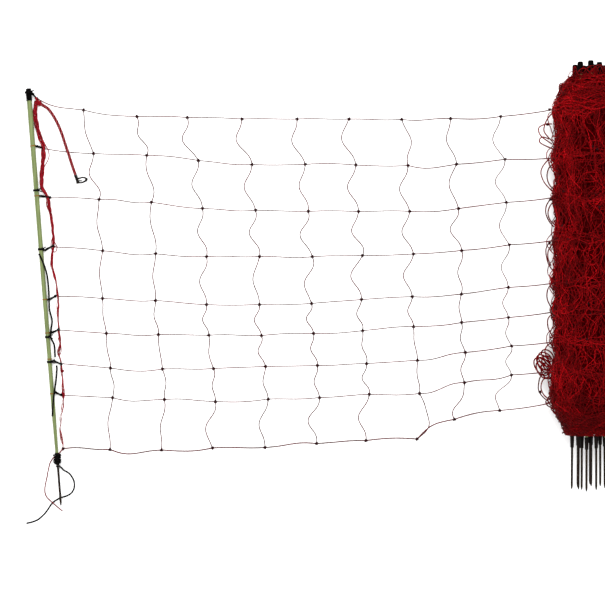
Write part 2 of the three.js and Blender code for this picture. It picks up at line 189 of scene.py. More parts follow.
def addPiece(name, parts, finish, replaced=(), tints=None, sharp=None):
    # Puts parts into one mesh that rides on the root. tints holds a value for each tube of each part
    points, corners, uvs, shades = [], [], [], []
    start = 0
    for number, part in enumerate(parts):
        points.append(part["points"])
        for faces, uv in part["faces"]:
            corners.extend((faces + start).tolist())
            uvs.append(uv.reshape(-1, 2))
        each = len(part["points"]) // part["pieces"]
        tint = 0.5 if tints is None else tints[number]
        shades.append(np.repeat(np.broadcast_to(tint, part["pieces"]), each))
        start += len(part["points"])
    mesh = bpy.data.meshes.new(name)
    mesh.from_pydata(np.concatenate(points).tolist(), [], corners)
    layer = mesh.uv_layers.new(name="lay")
    layer.data.foreach_set("uv", np.concatenate(uvs).ravel().astype(np.float32))
    shadeLayer = mesh.attributes.new("tint", "FLOAT", "POINT")
    shadeLayer.data.foreach_set("value", np.concatenate(shades).astype(np.float32))
    mesh.shade_smooth()
    if sharp is not None:
        mesh.set_sharp_from_angle(angle=math.radians(sharp))
    mesh.materials.append(finish)
    piece = bpy.data.objects.new(name, mesh)
    scene.collection.objects.link(piece)
    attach(piece, "root")
    if replaced:
        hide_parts(*replaced)
    return piece


# materials
def linear(code):
    # An sRGB hex colour as linear light
    parts = [int(code[place : place + 2], 16) / 255 for place in (1, 3, 5)]
    return tuple(((p + 0.055) / 1.055) ** 2.4 if p > 0.04045 else p / 12.92 for p in parts) + (1.0,)


def addNode(material, kind, settings=None, links=None):
    # A lower-case setting belongs to the node, and any other one to the input of that name or number
    node = material.node_tree.nodes.new(kind)
    for key, value in (settings or {}).items():
        if isinstance(key, str) and key[0].islower():
            setattr(node, key, value)
        else:
            node.inputs[key].default_value = value
    for key, source in (links or {}).items():
        material.node_tree.links.new(source, node.inputs[key])
    return node


def newFinish(name, settings):
    # A new material, with these inputs of its shader set
    material = bpy.data.materials.new(name)
    material.use_nodes = True
    shader = material.node_tree.nodes["Principled BSDF"]
    for key, value in settings.items():
        shader.inputs[key].default_value = value
    return material, shader


def twineFinish(
    name, deep, main, glint, pitch, strands, specular=0.08, patch=None, patchSize=0.09, patchShare=1.0
):
    # Drawn polythene strands laid together. Dark grooves wind between the strands, sin(2 pi (strands u + v /
    # pitch)), painted with shade, and a thin pale thread lies beside each, partly the twine's pale conductor
    # and partly a painted highlight. The tint attribute makes a whole strand lighter
    material, shader = newFinish(name, {"Roughness": 0.5, "Specular IOR Level": specular})
    uv = addNode(material, "ShaderNodeUVMap", {"uv_map": "lay"})
    split = addNode(material, "ShaderNodeSeparateXYZ", links={0: uv.outputs[0]})
    turns = {"operation": "MULTIPLY", 1: strands * full}
    around = addNode(material, "ShaderNodeMath", turns, {0: split.outputs[0]})
    advance = {"operation": "MULTIPLY_ADD", 1: full / pitch}
    phase = addNode(material, "ShaderNodeMath", advance, {0: split.outputs[1], 2: around.outputs[0]})
    wave = addNode(material, "ShaderNodeMath", {"operation": "SINE"}, {0: phase.outputs[0]})
    # The deep colour in the grooves between the strands is painted shade
    edges = {"From Min": -1.0, "From Max": 0.1}
    groove = addNode(material, "ShaderNodeMapRange", edges, {"Value": wave.outputs[0]})
    # The glint colour on each strand's crown is a painted highlight, and in the red twines also their pale
    # conductor
    edges = {"From Min": 0.9, "From Max": 1.0, "To Max": 0.55}
    threadAndGlint = addNode(material, "ShaderNodeMapRange", edges, {"Value": wave.outputs[0]})
    colours = {"data_type": "RGBA", 6: linear(deep), 7: linear(main)}
    laid = addNode(material, "ShaderNodeMix", colours, {0: groove.outputs[0]})
    colours = {"data_type": "RGBA", 7: linear(glint)}
    threadedAndGlinted = addNode(material, "ShaderNodeMix", colours, {0: threadAndGlint.outputs[0], 6: laid.outputs[2]})
    tint = addNode(material, "ShaderNodeAttribute", {"attribute_name": "tint"})
    edges = {"To Min": 0.25, "To Max": 1.6}
    lift = addNode(material, "ShaderNodeMapRange", edges, {"Value": tint.outputs["Fac"]})
    links = {"Value": lift.outputs[0], "Color": threadedAndGlinted.outputs[2]}
    colour = addNode(material, "ShaderNodeHueSaturation", links=links).outputs[0]
    # Patches of another colour: tone that differs at random in the net's twine, painted shade in the roll's
    # twine
    if patch:
        place = addNode(material, "ShaderNodeTexCoord")
        clouds = {"Scale": 1 / patchSize, "Detail": 3.0}
        cloud = addNode(material, "ShaderNodeTexNoise", clouds, {"Vector": place.outputs["Object"]})
        edges = {"From Min": 0.42, "From Max": 0.62, "To Max": patchShare}
        share = addNode(material, "ShaderNodeMapRange", edges, {"Value": cloud.outputs[0]})
        colours = {"data_type": "RGBA", 7: linear(patch)}
        colour = addNode(material, "ShaderNodeMix", colours, {0: share.outputs[0], 6: colour}).outputs[2]
    material.node_tree.links.new(colour, shader.inputs["Base Color"])
    relief = {"Strength": 0.6, "Distance": 0.0004}
    bump = addNode(material, "ShaderNodeBump", relief, {"Height": groove.outputs[0]})
    material.node_tree.links.new(bump.outputs[0], shader.inputs["Normal"])
    return material


def mouldedFinish(
    name, dark, main, roughness, metallic=0.0, specular=0.5, grain=0.004, bumpDepth=0.0002, streak=1.0
):
    # A moulded or drawn surface: two tones in clouds of the grain's size, stretched along the post by
    # streak, and the same clouds as a low bump
    settings = {"Roughness": roughness, "Metallic": metallic, "Specular IOR Level": specular}
    material, shader = newFinish(name, settings)
    place = addNode(material, "ShaderNodeTexCoord")
    scales = {"Scale": (1.0, 1 / streak, 1.0)}
    stretch = addNode(material, "ShaderNodeMapping", scales, {"Vector": place.outputs["Object"]})
    clouds = {"Scale": 1 / grain, "Detail": 5.0, "Roughness": 0.6}
    cloud = addNode(material, "ShaderNodeTexNoise", clouds, {"Vector": stretch.outputs[0]})
    edges = {"From Min": 0.3, "From Max": 0.7}
    share = addNode(material, "ShaderNodeMapRange", edges, {"Value": cloud.outputs[0]})
    colours = {"data_type": "RGBA", 6: linear(dark), 7: linear(main)}
    colour = addNode(material, "ShaderNodeMix", colours, {0: share.outputs[0]})
    material.node_tree.links.new(colour.outputs[2], shader.inputs["Base Color"])
    edges = {"To Min": roughness - 0.1, "To Max": roughness + 0.12}
    polish = addNode(material, "ShaderNodeMapRange", edges, {"Value": cloud.outputs[0]})
    material.node_tree.links.new(polish.outputs[0], shader.inputs["Roughness"])
    relief = {"Strength": 0.4, "Distance": bumpDepth}
    bump = addNode(material, "ShaderNodeBump", relief, {"Height": cloud.outputs[0]})
    material.node_tree.links.new(bump.outputs[0], shader.inputs["Normal"])
    return material


print("materials")
finishes = {
    # Extruded pale green plastic rod, waxy, faintly streaked along its length
    "postPlastic": mouldedFinish(
        "extruded green plastic", "#525E36", "#737F4F", 0.5, specular=0.2, grain=0.006, streak=14
    ),
    # Moulded black cap, satin, a little dusty
    "capPlastic": mouldedFinish(
        "moulded black plastic", "#000000", "#040303", 0.6, specular=0.02, grain=0.003
    ),
    # Moulded very dark brown socket
    "socketPlastic": mouldedFinish(
        "moulded dark brown plastic", "#040202", "#140D0A", 0.5, specular=0.05, grain=0.003
    ),
    # Drawn steel rod, dulled and browned by soil
    "spikeSteel": mouldedFinish(
        "dull drawn steel", "#080504", "#2A1F18", 0.6, metallic=0.5, specular=0.1, grain=0.005, streak=6
    ),
    # Thin olive-brown ring of soft plastic
    "bandPlastic": mouldedFinish("brown plastic band", "#4E3410", "#86581C", 0.5, specular=0.1, grain=0.002),
    "clipSteel": mouldedFinish(
        "blackened steel", "#050403", "#1C1512", 0.5, metallic=0.4, specular=0.1, grain=0.003
    ),
    # Red polythene twine: deep red, with painted shade in the groove of its lay, and a pale conductor there
    # that also carries a painted highlight
    "redTwine": twineFinish("laid red polythene twine", "#2C0006", "#8C0010", "#B83444", 0.011, 3),
    "ropeTwine": twineFinish("laid red polythene rope", "#120002", "#86000E", "#E0A4A8", 0.006, 1),
    "netTwine": twineFinish("red net twine", "#220508", "#641820", "#9A7C7A", 0.009, 2, patch="#46302E"),
    "tailTwine": twineFinish("maroon twine", "#200206", "#74101C", "#8E3A44", 0.010, 3),
    # The net's crossings are drawn tight, and darkened with painted shade
    "knotTwine": twineFinish("dark knotted twine", "#050001", "#2A050A", "#4A161B", 0.006, 3),
    "blackString": twineFinish(
        "black nylon string", "#000000", "#060505", "#161414", 0.006, 3, specular=0.03
    ),
    # Darker in patches of painted shade, where strands lie deeper
    "rollTwine": twineFinish(
        "red twine in the roll", "#1E0001", "#960004", "#C02832", 0.010, 2, specular=0.03,
        patch="#2C0001", patchSize=0.06, patchShare=0.45,
    ),
    # The dark sheet under the loose strands: painted shade deep in the roll
    "rollShade": mouldedFinish(
        "painted shade deep in the roll", "#060000", "#400002", 0.9, specular=0.0, grain=0.009, bumpDepth=0.003
    ),
}

# free cords, on the same routes as in the part's source
ropeSettings = {"radius": 4.3 * mm, "pitch": 16 * mm, "step": 1.6 * mm, "offset": 0.64, "strand": 0.44}
cordSettings = {"radius": 2.5 * mm, "pitch": 12 * mm, "step": 1.6 * mm, "offset": 0.4, "strand": 0.62}
tailSettings = {"radius": 1.8 * mm, "pitch": 9 * mm, "step": 1.5 * mm, "offset": 0.4, "strand": 0.62}
leadRopeRoute = [
    (-1599, 446.5, 8.6), (-1592, 442, 6), (-1584, 437, 4.4), (-1572, 428, 4), (-1560, 412, 4),
    (-1550, 395, 4), (-1541, 376, 4), (-1533, 356, 4.2), (-1526, 335, 6.8), (-1519, 314, 8.2),
    (-1512, 293, 6.8), (-1506, 273, 4.2), (-1500, 255, 4), (-1493.8, 237.4, 4.4),
]
footCordRoute = [
    (-1539.2, -606.9, 7.4), (-1534, -611, 4.2), (-1528, -618, 2.4), (-1514, -626, 2.1), (-1504, -638, 2.1),
    (-1498, -652, 2.1), (-1498, -670, 2.1), (-1506, -684, 2.1), (-1518, -692, 2.1), (-1534, -697, 2.1),
    (-1545, -702, 2.1), (-1556, -709, 2.1), (-1565, -718, 2.1), (-1572, -729, 2.1), (-1580, -740, 2.1),
    (-1588, -749, 2.1), (-1598, -758, 2.1), (-1608, -764, 2.1), (-1622, -769, 2.1), (-1636, -772, 2.1),
]
tailTwineRoute = [
    (-1553.5, -577, 11.2), (-1560, -585, 8), (-1567, -595, 4), (-1570, -605, 2), (-1574, -622, 1.6),
    (-1577, -640, 1.6), (-1581, -657, 1.6), (-1583, -672, 1.6), (-1582, -686, 1.6), (-1577, -696, 4),
    (-1569, -704, 6.2), (-1561, -711, 6.6), (-1553, -718, 6), (-1546, -725, 3), (-1539, -731, 1.6),
    (-1532, -736, 1.6),
]


def freeCord(name, route, settings, finish, node):
    # A laid cord along its route, on the floor or above it
    path = smoothPath(np.array(route) * mm, settings["step"])
    path[:, 2] = np.maximum(path[:, 2], 1.1 * settings["radius"])
    shares = {"offset": settings["offset"], "strand": settings["strand"]}
    lay = laidRope(path, settings["radius"], settings["pitch"], **shares)
    piece = addPiece(name, [lay], finish, [node])
    return piece


print("lead rope and clip")
clipBarrelEnds = np.array([(-1493.5, 236.5, 4.6), (-1486, 213, 4.6)]) * mm
barrelAxis = clipBarrelEnds[1] - clipBarrelEnds[0]
barrelLength = float(np.linalg.norm(barrelAxis))
# Crimped barrel: a rolled lip at each end and two pressed grooves
barrelProfile = [
    (3.0, 0.0), (4.4, 0.0), (4.9, 0.5), (4.9, 2.2), (4.5, 3.2), (4.5, 6.6), (3.9, 7.6), (3.9, 9.4),
    (4.5, 10.4), (4.5, 13.4), (3.9, 14.4), (3.9, 16.2), (4.5, 17.2), (4.5, 21.4), (4.9, 22.4), (4.9, 24.1),
    (4.5, 24.6), (3.0, 24.6),
]
barrelProfile = [(radius * mm, height * mm * barrelLength / 0.0246) for radius, height in barrelProfile]
loopRoute = [
    (-1490, 227.5, 3.8), (-1482, 228.6, 2.8), (-1475, 230.6, 2.3), (-1467, 229.6, 2.5), (-1461.5, 225.6, 2.8),
    (-1464, 221.4, 2.8), (-1469, 218.4, 2.4), (-1477, 215.4, 2.4), (-1484, 215.6, 3.0), (-1490, 216.6, 3.8),
]
loopPath = smoothPath(np.array(loopRoute) * mm, 1.2 * mm)
loopShare = np.linspace(0, 1, len(loopPath))
# The wire is thickest where the loop comes to a point on its far side
loopRadius = (2.1 + 1.2 * np.exp(-(((loopShare - 0.52) / 0.12) ** 2))) * mm
tongueRoute = [(-1489, 221, 3.6), (-1484, 221.6, 2.6), (-1479, 221.5, 2.0), (-1475.5, 220.8, 1.8)]
clipPiece = addPiece(
    "leadClip",
    [
        turned(barrelProfile, clipBarrelEnds[0], barrelAxis, 24),
        tube(loopPath, loopRadius, 10),
        tube(smoothPath(np.array(tongueRoute) * mm, 1.2 * mm), 1.2 * mm, 8),
    ],
    finishes["clipSteel"],
    ["lead_clip"],
    sharp=40,
)
freeCord(
    "leadRope", leadRopeRoute, ropeSettings, finishes["ropeTwine"], "lead_rope",
)
freeCord(
    "footCord", footCordRoute, cordSettings, finishes["blackString"], "foot_cord"
)
freeCord(
    "tailTwine", tailTwineRoute, tailSettings, finishes["tailTwine"], "tail_twine"
)

# end post
print("end post")
post = {
    "foot": np.array((-1547, -567, 12.6)) * mm,
    "lean": math.radians(4.47),
    "length": 1022 * mm,
    "topRadius": 7.2 * mm,
    "waistRadius": 5.65 * mm,
    "waistHeight": 107 * mm,
    "footRadius": 4.3 * mm,
    "capLength": 36 * mm,
    "capRadius": 8.6 * mm,
    "socketLength": 35 * mm,
    "spikeRadius": 3.3 * mm,
}


def postAxis(lean):
    # Straight up the picture, turned to the left by lean
    return np.array((-math.sin(lean), math.cos(lean), 0.0))


def postRadiusAt(height):
    # The post's radius, straight from foot to waist and from there to top
    return np.interp(
        height,
        [0, post["waistHeight"], post["length"]],
        [post["footRadius"], post["waistRadius"], post["topRadius"]],
    )


# Profiles up the post's axis, in mm from the socket's mouth
postProfile = [(4.3, -17.7), (4.3, 0), (5.65, 107), (7.2, 1022), (7.2, 1047.7)]
capProfile = [
    (7.5, 0.0), (8.3, 0.0), (8.6, 0.4), (8.6, 3.4), (8.2, 4.0), (8.2, 22), (8.1, 30), (7.7, 33),
    (6.9, 34.8), (5.6, 35.7), (3.6, 36.0), (0.6, 36.0),
]
socketProfile = [
    (3.6, -35.0), (4.4, -35.0), (4.9, -34.4), (5.1, -31), (5.2, -24), (5.9, -14), (6.0, -5), (6.5, -4.2),
    (6.5, -0.5), (6.1, 0.0), (4.6, 0.0),
]
spikeProfile = [
    (0.5, -154.0), (1.0, -153.8), (1.7, -152.4), (2.7, -147.5), (3.2, -144), (3.3, -140), (3.3, -25),
]


def scaled(profile):
    # A profile in mm as metres
    return [(radius * mm, height * mm) for radius, height in profile]


def postPieces(origin, lean):
    # A post's cap, socket and spike, turned round its axis
    axis = postAxis(lean)
    cap = turned(scaled(capProfile), origin + axis * post["length"], axis, 28)
    socket = turned(scaled(socketProfile), origin, axis, 24)
    spike = turned(scaled(spikeProfile), origin, axis, 20)
    return cap, socket, spike


axis = postAxis(post["lean"])
cap, socket, spike = postPieces(post["foot"], post["lean"])
addPiece(
    "endPost",
    [turned(scaled(postProfile), post["foot"], axis, 40)],
    finishes["postPlastic"],
    ["end_post"],
    sharp=40,
)
addPiece("endPostCap", [cap], finishes["capPlastic"], ["end_post_cap"], sharp=50)
addPiece(
    "endPostSocket", [socket], finishes["socketPlastic"], ["end_post_socket"], sharp=50
)
addPiece("endPostSpike", [spike], finishes["spikeSteel"], ["end_post_spike"], sharp=50)

bandHeights = [891, 746, 589, 445, 348, 272, 171.6]
bandProfile = [(0, -1.5), (0.8, -1.3), (1.1, -0.7), (1.1, 0.7), (0.8, 1.3), (0, 1.5)]
for number, height in enumerate(bandHeights):
    inner = float(postRadiusAt(height * mm)) / mm + 0.15
    ringProfile = [(inner + out, height + up) for out, up in bandProfile]
    addPiece(
        f"postBand{number + 2}",
        [turned(scaled(ringProfile), post["foot"], axis, 32)],
        finishes["bandPlastic"],
        [f"post_band_{number + 2}"],
        sharp=50,
    )

# strings on the end post
print("strings")
tie = {
    "stringRadius": 1.6 * mm,
    "fullness": 2.2 * mm,  # how far the strings stand from their middle line, halfway to the bunch
    "pitch": 16 * mm,
    "knotSize": 3.4 * mm,
}
# Each string runs from the post's edge to the bunch by its places in the picture, with heights in mm. Where
# it goes round the post, ringHeight is that ring's place up the post, and elsewhere it comes from under the
# post.
tieRoutes = [
    {"route": [(31.6, 93.4, 17), (34.2, 95.6, 13), (37.0, 98.6, 10)], "ringHeight": 1046, "turns": 1.6},
    {"route": [(36.4, 146.1, 8), (39.4, 147.0, 7), (43.4, 148.6, 6)]},
    {"route": [(40.6, 196.0, 8), (45.0, 196.6, 7), (49.8, 197.4, 6)], "ringHeight": 762, "turns": 1.8},
    {"route": [(45.2, 250.2, 8), (48.0, 248.4, 7), (53.0, 246.0, 6)], "ringHeight": 591, "turns": 1.6},
    {"route": [(49.4, 299.4, 8), (52.0, 298.0, 7), (55.6, 296.0, 6)]},
    {"route": [(51.4, 332.6, 8), (54.6, 331.4, 7), (58.4, 329.6, 6)], "ringHeight": 336, "turns": 1.5},
    {"route": [(53.6, 361.0, 8), (57.0, 362.4, 6), (61.2, 364.0, 6)], "ringHeight": 264, "turns": 1.7},
    {"route": [(54.9, 391.9, 8), (57.6, 393.4, 7), (61.2, 394.9, 6)]},
]
side = np.array((math.cos(post["lean"]), math.sin(post["lean"]), 0.0))


def coilRound(origin, direction, radius, turns, rise, steps=26):
    # A string wound round an axis: origin + axis rise t + radius (side cos a + up sin a), a = 2 pi turns t
    share = np.linspace(0, 1, int(steps * turns))
    angle = share * turns * full
    across = unit(np.cross(direction, (0, 0, 1.0)))
    return (
        origin
        + direction * ((share - 0.5) * rise)[:, None]
        + radius * (across * np.cos(angle)[:, None] + np.array((0, 0, 1.0)) * np.sin(angle)[:, None])
    )


def onFloor(paths, radius):
    # Lifts each point whose tube would go under the floor
    paths[..., 2] = np.maximum(paths[..., 2], radius)
    return paths


def knotPaths(centres, size, flat=0.62, turn=0.0, steps=26):
    # Overhand knots: (sin t + 2 sin 2t, cos t - 2 cos 2t, -sin 3t), three units across, turned in the plane
    t = np.arange(steps) / steps * full
    x = (np.sin(t) + 2 * np.sin(2 * t)) / 3
    y = (np.cos(t) - 2 * np.cos(2 * t)) / 3
    z = -np.sin(3 * t) * flat
    turn = np.broadcast_to(turn, len(centres))[:, None]
    across = x * np.cos(turn) - y * np.sin(turn)
    down = x * np.sin(turn) + y * np.cos(turn)
    return np.asarray(centres)[:, None] + np.stack([across, down, z + 0 * turn], -1) * size


for number, entry in enumerate(tieRoutes):
    laid = pictureRoute(entry["route"])
    # The point of the post's axis beside the string's start
    height = float((laid[0] - post["foot"]) @ axis)
    around = post["capRadius"] if height > post["length"] else float(postRadiusAt(height))
    centre = post["foot"] + axis * height
    under = centre - np.array((0, 0, around + 2.2 * tie["stringRadius"]))
    underPost = [under - side * 0.5 * around, under + side * 0.6 * around]
    path = smoothPath(np.concatenate([underPost, laid]), 1.6 * mm)
    share = np.linspace(0, 1, len(path))
    fullness = tie["fullness"] * (0.35 + 0.65 * np.sin(math.pi * share) ** 2)
    bundle = strandPaths(path, 3, fullness, tie["pitch"])
    parts = [tube(onFloor(bundle, tie["stringRadius"]), tie["stringRadius"], 7)]
    # The knot in which the string ends at the bunch, with its short end
    endKnot = onFloor(knotPaths(laid[-1:], tie["knotSize"], 0.5, number), tie["stringRadius"])
    parts.append(tube(endKnot, tie["stringRadius"], 7, closed=True))
    if "ringHeight" in entry:
        ringHeight = entry["ringHeight"] * mm
        ringCentre = post["foot"] + axis * ringHeight
        inner = post["capRadius"] if ringHeight > post["length"] else float(postRadiusAt(ringHeight))
        middle = inner + tie["stringRadius"] + 0.1 * mm
        ring = coilRound(ringCentre, axis, middle, entry["turns"], 4.6 * mm)
        parts.append(tube(onFloor(ring, tie["stringRadius"]), tie["stringRadius"], 7, axis))
        knotAt = ringCentre + side * middle * 0.75 + np.array((0, 0, middle * 0.75 + 1.2 * mm))
        ringKnot = knotPaths([knotAt], tie["knotSize"], 0.5, number * 2.0)
        parts.append(tube(ringKnot, tie["stringRadius"], 7, closed=True))
        for shift in (-1, 1):
            start = knotAt + axis * shift * mm
            tip = start + side * 9 * mm + axis * shift * 4.5 * mm - np.array((0, 0, 4 * mm))
            middlePoint = (start + tip) / 2 + np.array((0, 0, 1.5)) * mm
            parts.append(tube(smoothPath([start, middlePoint, tip], 2 * mm), tie["stringRadius"] * 0.9, 7))
    addPiece(
        f"postTie{number + 1}", parts, finishes["blackString"], [f"post_tie_{number + 1}"]
    )

# The string round the foot: loose turns over the socket and tight ones on the spike below it
footTie = {
    "stringRadius": 1.3 * mm,
    "turns": 6.5,
    "steps": 150,
    "tightFrom": 125,  # from this step on the turns lie close to the spike
    "rise": 27 * mm,
    "middle": 19 * mm,  # below the socket's mouth
    "belowSocket": 4 * mm,  # the tight turns' place
}
turn = np.linspace(0, footTie["turns"], footTie["steps"]) * full
along = footTie["rise"] * (0.5 - np.linspace(0, 1, footTie["steps"])) + 1.6 * mm * np.sin(turn * 0.37)
outwards = (8.2 + 1.5 * np.sin(turn * 0.61) + 1.1 * np.sin(turn * 0.23 + 1)) * mm
outwards = np.where(np.arange(footTie["steps"]) > footTie["tightFrom"], 6.4 * mm, outwards)
coil = (
    post["foot"] - axis * footTie["middle"] + axis * along[:, None]
    + outwards[:, None] * (side * np.cos(turn)[:, None] + np.array((0, 0, 1.0)) * np.sin(turn)[:, None])
)
coil = onFloor(strandPaths(coil, 2, 1.2 * mm, 14 * mm, axis), footTie["stringRadius"])
parts = [tube(coil, footTie["stringRadius"], 6, axis)]
footTieCentre = post["foot"] - axis * (post["socketLength"] + footTie["belowSocket"])
tight = coilRound(footTieCentre, axis, post["spikeRadius"] + 1.5 * mm, 2.0, 3.4 * mm)
parts.append(tube(tight, footTie["stringRadius"], 7, axis))
knotSpots = [post["foot"] - axis * 9 * mm + side * 8 * mm, post["foot"] - axis * 24 * mm - side * 7 * mm]
knotSpots = np.array([spot + np.array((0, 0, 4 * mm)) for spot in knotSpots])
footKnots = knotPaths(knotSpots, 4.6 * mm, 0.6, np.array((0.4, 2.0)))
parts.append(tube(footKnots, footTie["stringRadius"], 7, closed=True))
addPiece("footTie", parts, finishes["blackString"], ["foot_tie"])

# Height up the post, how far it lies to the right of the axis, and how far above the axis
postCordRoutes = {
    "Upper": [
        (578, -6, 8.6), (552, 4.3, 9.6), (515, 12.4, 6), (471, 13.6, 3.6), (439, 12.4, 5), (414, 11.5, 3),
        (383, 16, 0), (358, 12, 6), (335, 9.5, 9.4), (312, 17, 2), (277, 17, 2),
    ],
    "Lower": [
        (252, 19, 1), (242, 19, 0), (209, 14.2, 2), (178, 8, 10), (140, 0.9, 9), (107, -3.8, 7.8),
    ],
}
for part, route in postCordRoutes.items():
    up, right, above = np.array(route, float).T[:, :, None] * mm
    laid = post["foot"] + axis * up + side * right + np.array((0, 0, 1.0)) * above
    path = smoothPath(laid, cordSettings["step"])
    cord = laidRope(path, 1.15 * cordSettings["radius"], cordSettings["pitch"])
    addPiece(
        f"postCord{part}", [cord], finishes["blackString"], [f"post_cord_{part.lower()}"]
    )

# end cord: the gathered twines along the end of the net
print("end cord")
endCord = {
    # At these places along Y, in mm: how far the strands stand from the middle line, and their radius
    "spreadAt": [-566, -420, -100, 0, 160, 250, 452],
    "spread": [0.0, 1.1, 1.6, 2.3, 2.7, 3.9, 4.3],
    "strandRadius": [0.8, 0.95, 1.1, 1.3, 1.45, 1.6, 1.6],
    "pitch": 95 * mm,
    "step": 3.2 * mm,
    "seed": 11,
}
endCordRoute = [
    (-1607, 452), (-1611, 409), (-1598, 354), (-1587, 319), (-1587, 287), (-1591, 241), (-1591, 203),
    (-1575, 174), (-1570, 144), (-1561, 87), (-1558, 32), (-1563, -20), (-1550, -70), (-1547, -92),
    (-1545, -112), (-1544, -160), (-1542, -212), (-1538, -252), (-1541, -278), (-1535, -310),
    (-1532, -357), (-1529, -415), (-1536, -467), (-1538, -499), (-1531, -552), (-1541, -566),
]
strandEnds = [-566, -412, -401, -309, -113, -92, -30, 60, 180, 200]  # where each twine leaves the bunch, in Y
rng = np.random.default_rng(endCord["seed"])
middleLine = smoothPath(np.array([(x, y, 0.0) for x, y in endCordRoute]) * mm, endCord["step"])
parts, tints = [], []
for number, end in enumerate(strandEnds):
    path = middleLine[middleLine[:, 1] > end * mm]
    distance = np.arange(len(path)) * endCord["step"]
    spread = np.interp(path[:, 1] / mm, endCord["spreadAt"], endCord["spread"]) * mm
    thick = np.interp(path[:, 1] / mm, endCord["spreadAt"], endCord["strandRadius"]) * mm
    loose = 1 + 0.35 * np.sin(distance / 0.041 + number * 2.1) + 0.25 * np.sin(distance / 0.017 + number)
    angle = distance / endCord["pitch"] * full + number / len(strandEnds) * full
    angle = angle + 0.7 * np.sin(distance / 0.07 + number * 1.7)
    along = unit(np.gradient(path, axis=0))
    across = np.cross(along, (0, 0, 1.0))
    lift = spread + thick
    moved = path + across * (spread * loose * np.cos(angle))[:, None]
    moved[:, 2] = np.maximum(lift + spread * np.sin(angle), thick)
    parts.append(tube(moved, thick, 7))
    tints.append(rng.uniform(0.3, 0.75))
# Fine hairs of twine that stand out of the bunch: each is a small arch beside its middle line
hairCount = 90
hairStart = rng.integers(4, len(middleLine) - 16, hairCount)
hairLength = rng.integers(6, 13, hairCount)
hairSide = rng.choice((-1, 1), hairCount) * rng.uniform(3.2, 7.0, hairCount) * mm
hairSide = np.where(middleLine[hairStart, 1] < 0.15, hairSide * 0.6, hairSide)
hairShare = np.linspace(0, 1, 12)
place = hairStart[:, None] + hairLength[:, None] * hairShare
base = np.stack([np.interp(place, np.arange(len(middleLine)), middleLine[:, k]) for k in (0, 1)], -1)
arch = hairSide[:, None] * (0.3 + 0.7 * np.sin(math.pi * hairShare))
height = rng.uniform(2, 7.5, (hairCount, 1)) * mm * (0.6 + 0.4 * np.sin(math.pi * hairShare))
hairs = np.stack([base[..., 0] + arch, base[..., 1], height + 0 * base[..., 0]], -1)
parts.append(tube(hairs, 0.75 * mm, 5))
tints.append(rng.uniform(0.35, 1.0, hairCount))
# A strand that bulges away from the bunch, and two small loops lower down
sideStrands = [
    [(43, 140, 3), (46, 146, 4), (48.5, 151, 3), (49, 157, 3), (46.5, 163, 4), (43.5, 168, 4)],
    [
        (43, 187, 5), (45, 193, 4), (47.5, 196.5, 3), (49.7, 200, 2), (49.8, 206, 2), (47.2, 207.5, 3),
        (46, 202, 4),
    ],
    [(53, 236, 4), (51, 243, 3), (52, 250, 2), (55.5, 252, 2), (57, 247, 3), (54.5, 242, 4)],
    [(58, 338, 4), (60.8, 345, 3), (61, 352, 2), (58.6, 356, 2), (57.6, 351, 3), (59.5, 345, 4)],
]
for route in sideStrands:
    parts.append(tube(smoothPath(pictureRoute(route), 2.4 * mm), 1.2 * mm, 7))
    tints.append(0.4)
# The top knot is three overhand knots in one another
topKnotCentre = np.array(fromPicture(39.2, 103.4, 9.0 * mm))
for turn, size, height in ((0.3, 6.6, 0), (1.4, 5.6, 2.6), (2.5, 6.0, -2.2)):
    centre = topKnotCentre + np.array((0, 0, height)) * mm
    parts.append(tube(knotPaths([centre], size * mm, 0.55, turn, 40), 1.9 * mm, 8, closed=True))
    tints.append(0.5)
# The bunch's head beside the cap, from which the first line and the rope's knot hang
headRoute = [(35.6, 97.4, 10), (36.6, 99.2, 10), (38.4, 101.6, 9), (40.5, 103.8, 8)]
headPath = smoothPath(pictureRoute(headRoute), 1.8 * mm)
parts.append(tube(strandPaths(headPath, 4, 2.4 * mm, 40 * mm), 1.6 * mm, 7))
tints.append(np.array((0.45, 0.6, 0.5, 0.7)))
# The twine that joins the net's lower corner to the top of the foot
cornerRoute = [(63.3, 448.6, 3), (61, 451, 5), (58.8, 454, 8)]
cornerPath = smoothPath(pictureRoute(cornerRoute), 2 * mm)
parts.append(tube(strandPaths(cornerPath, 2, 1.0 * mm, 12 * mm), 1.1 * mm, 7))
tints.append(0.4)
for across, down, size in ((53.7, 246.5, 4.4), (63.0, 395.5, 4.0), (62.6, 371, 3.6)):
    centre = fromPicture(across, down, 4.5 * mm)
    parts.append(tube(knotPaths([centre], size * mm, 0.5, across), 1.3 * mm, 7, closed=True))
    tints.append(0.35)
addPiece("endCord", parts, finishes["redTwine"], ["end_cord"], tints)

# the drawn-out panel: nine lines and nine stays
print("netting")
net = {
    "lineRadius": 1.22 * mm,
    "rightRadius": 1.7 * mm,  # the lines are drawn tighter together and darker towards the roll
    "bottomRadius": 1.75 * mm,
    "stayRadius": 1.4 * mm,
    "knotSize": 3.9 * mm,
    "knotStrand": 1.6 * mm,
    "step": 4.0 * mm,
    "floorGap": 1.8,
    "riseStart": -400,
    "riseEnd": -128,
    "riseHeight": 84,
    "stayLift": 0.4,  # how far stays and knots lie above the lines' middle, in mm
    "knotLift": 1.9,
    "runOn": 24,  # how far the lines run on into the roll, in mm
    "tighten": (-0.55, -0.25),  # where along X the lines change to rightRadius
}
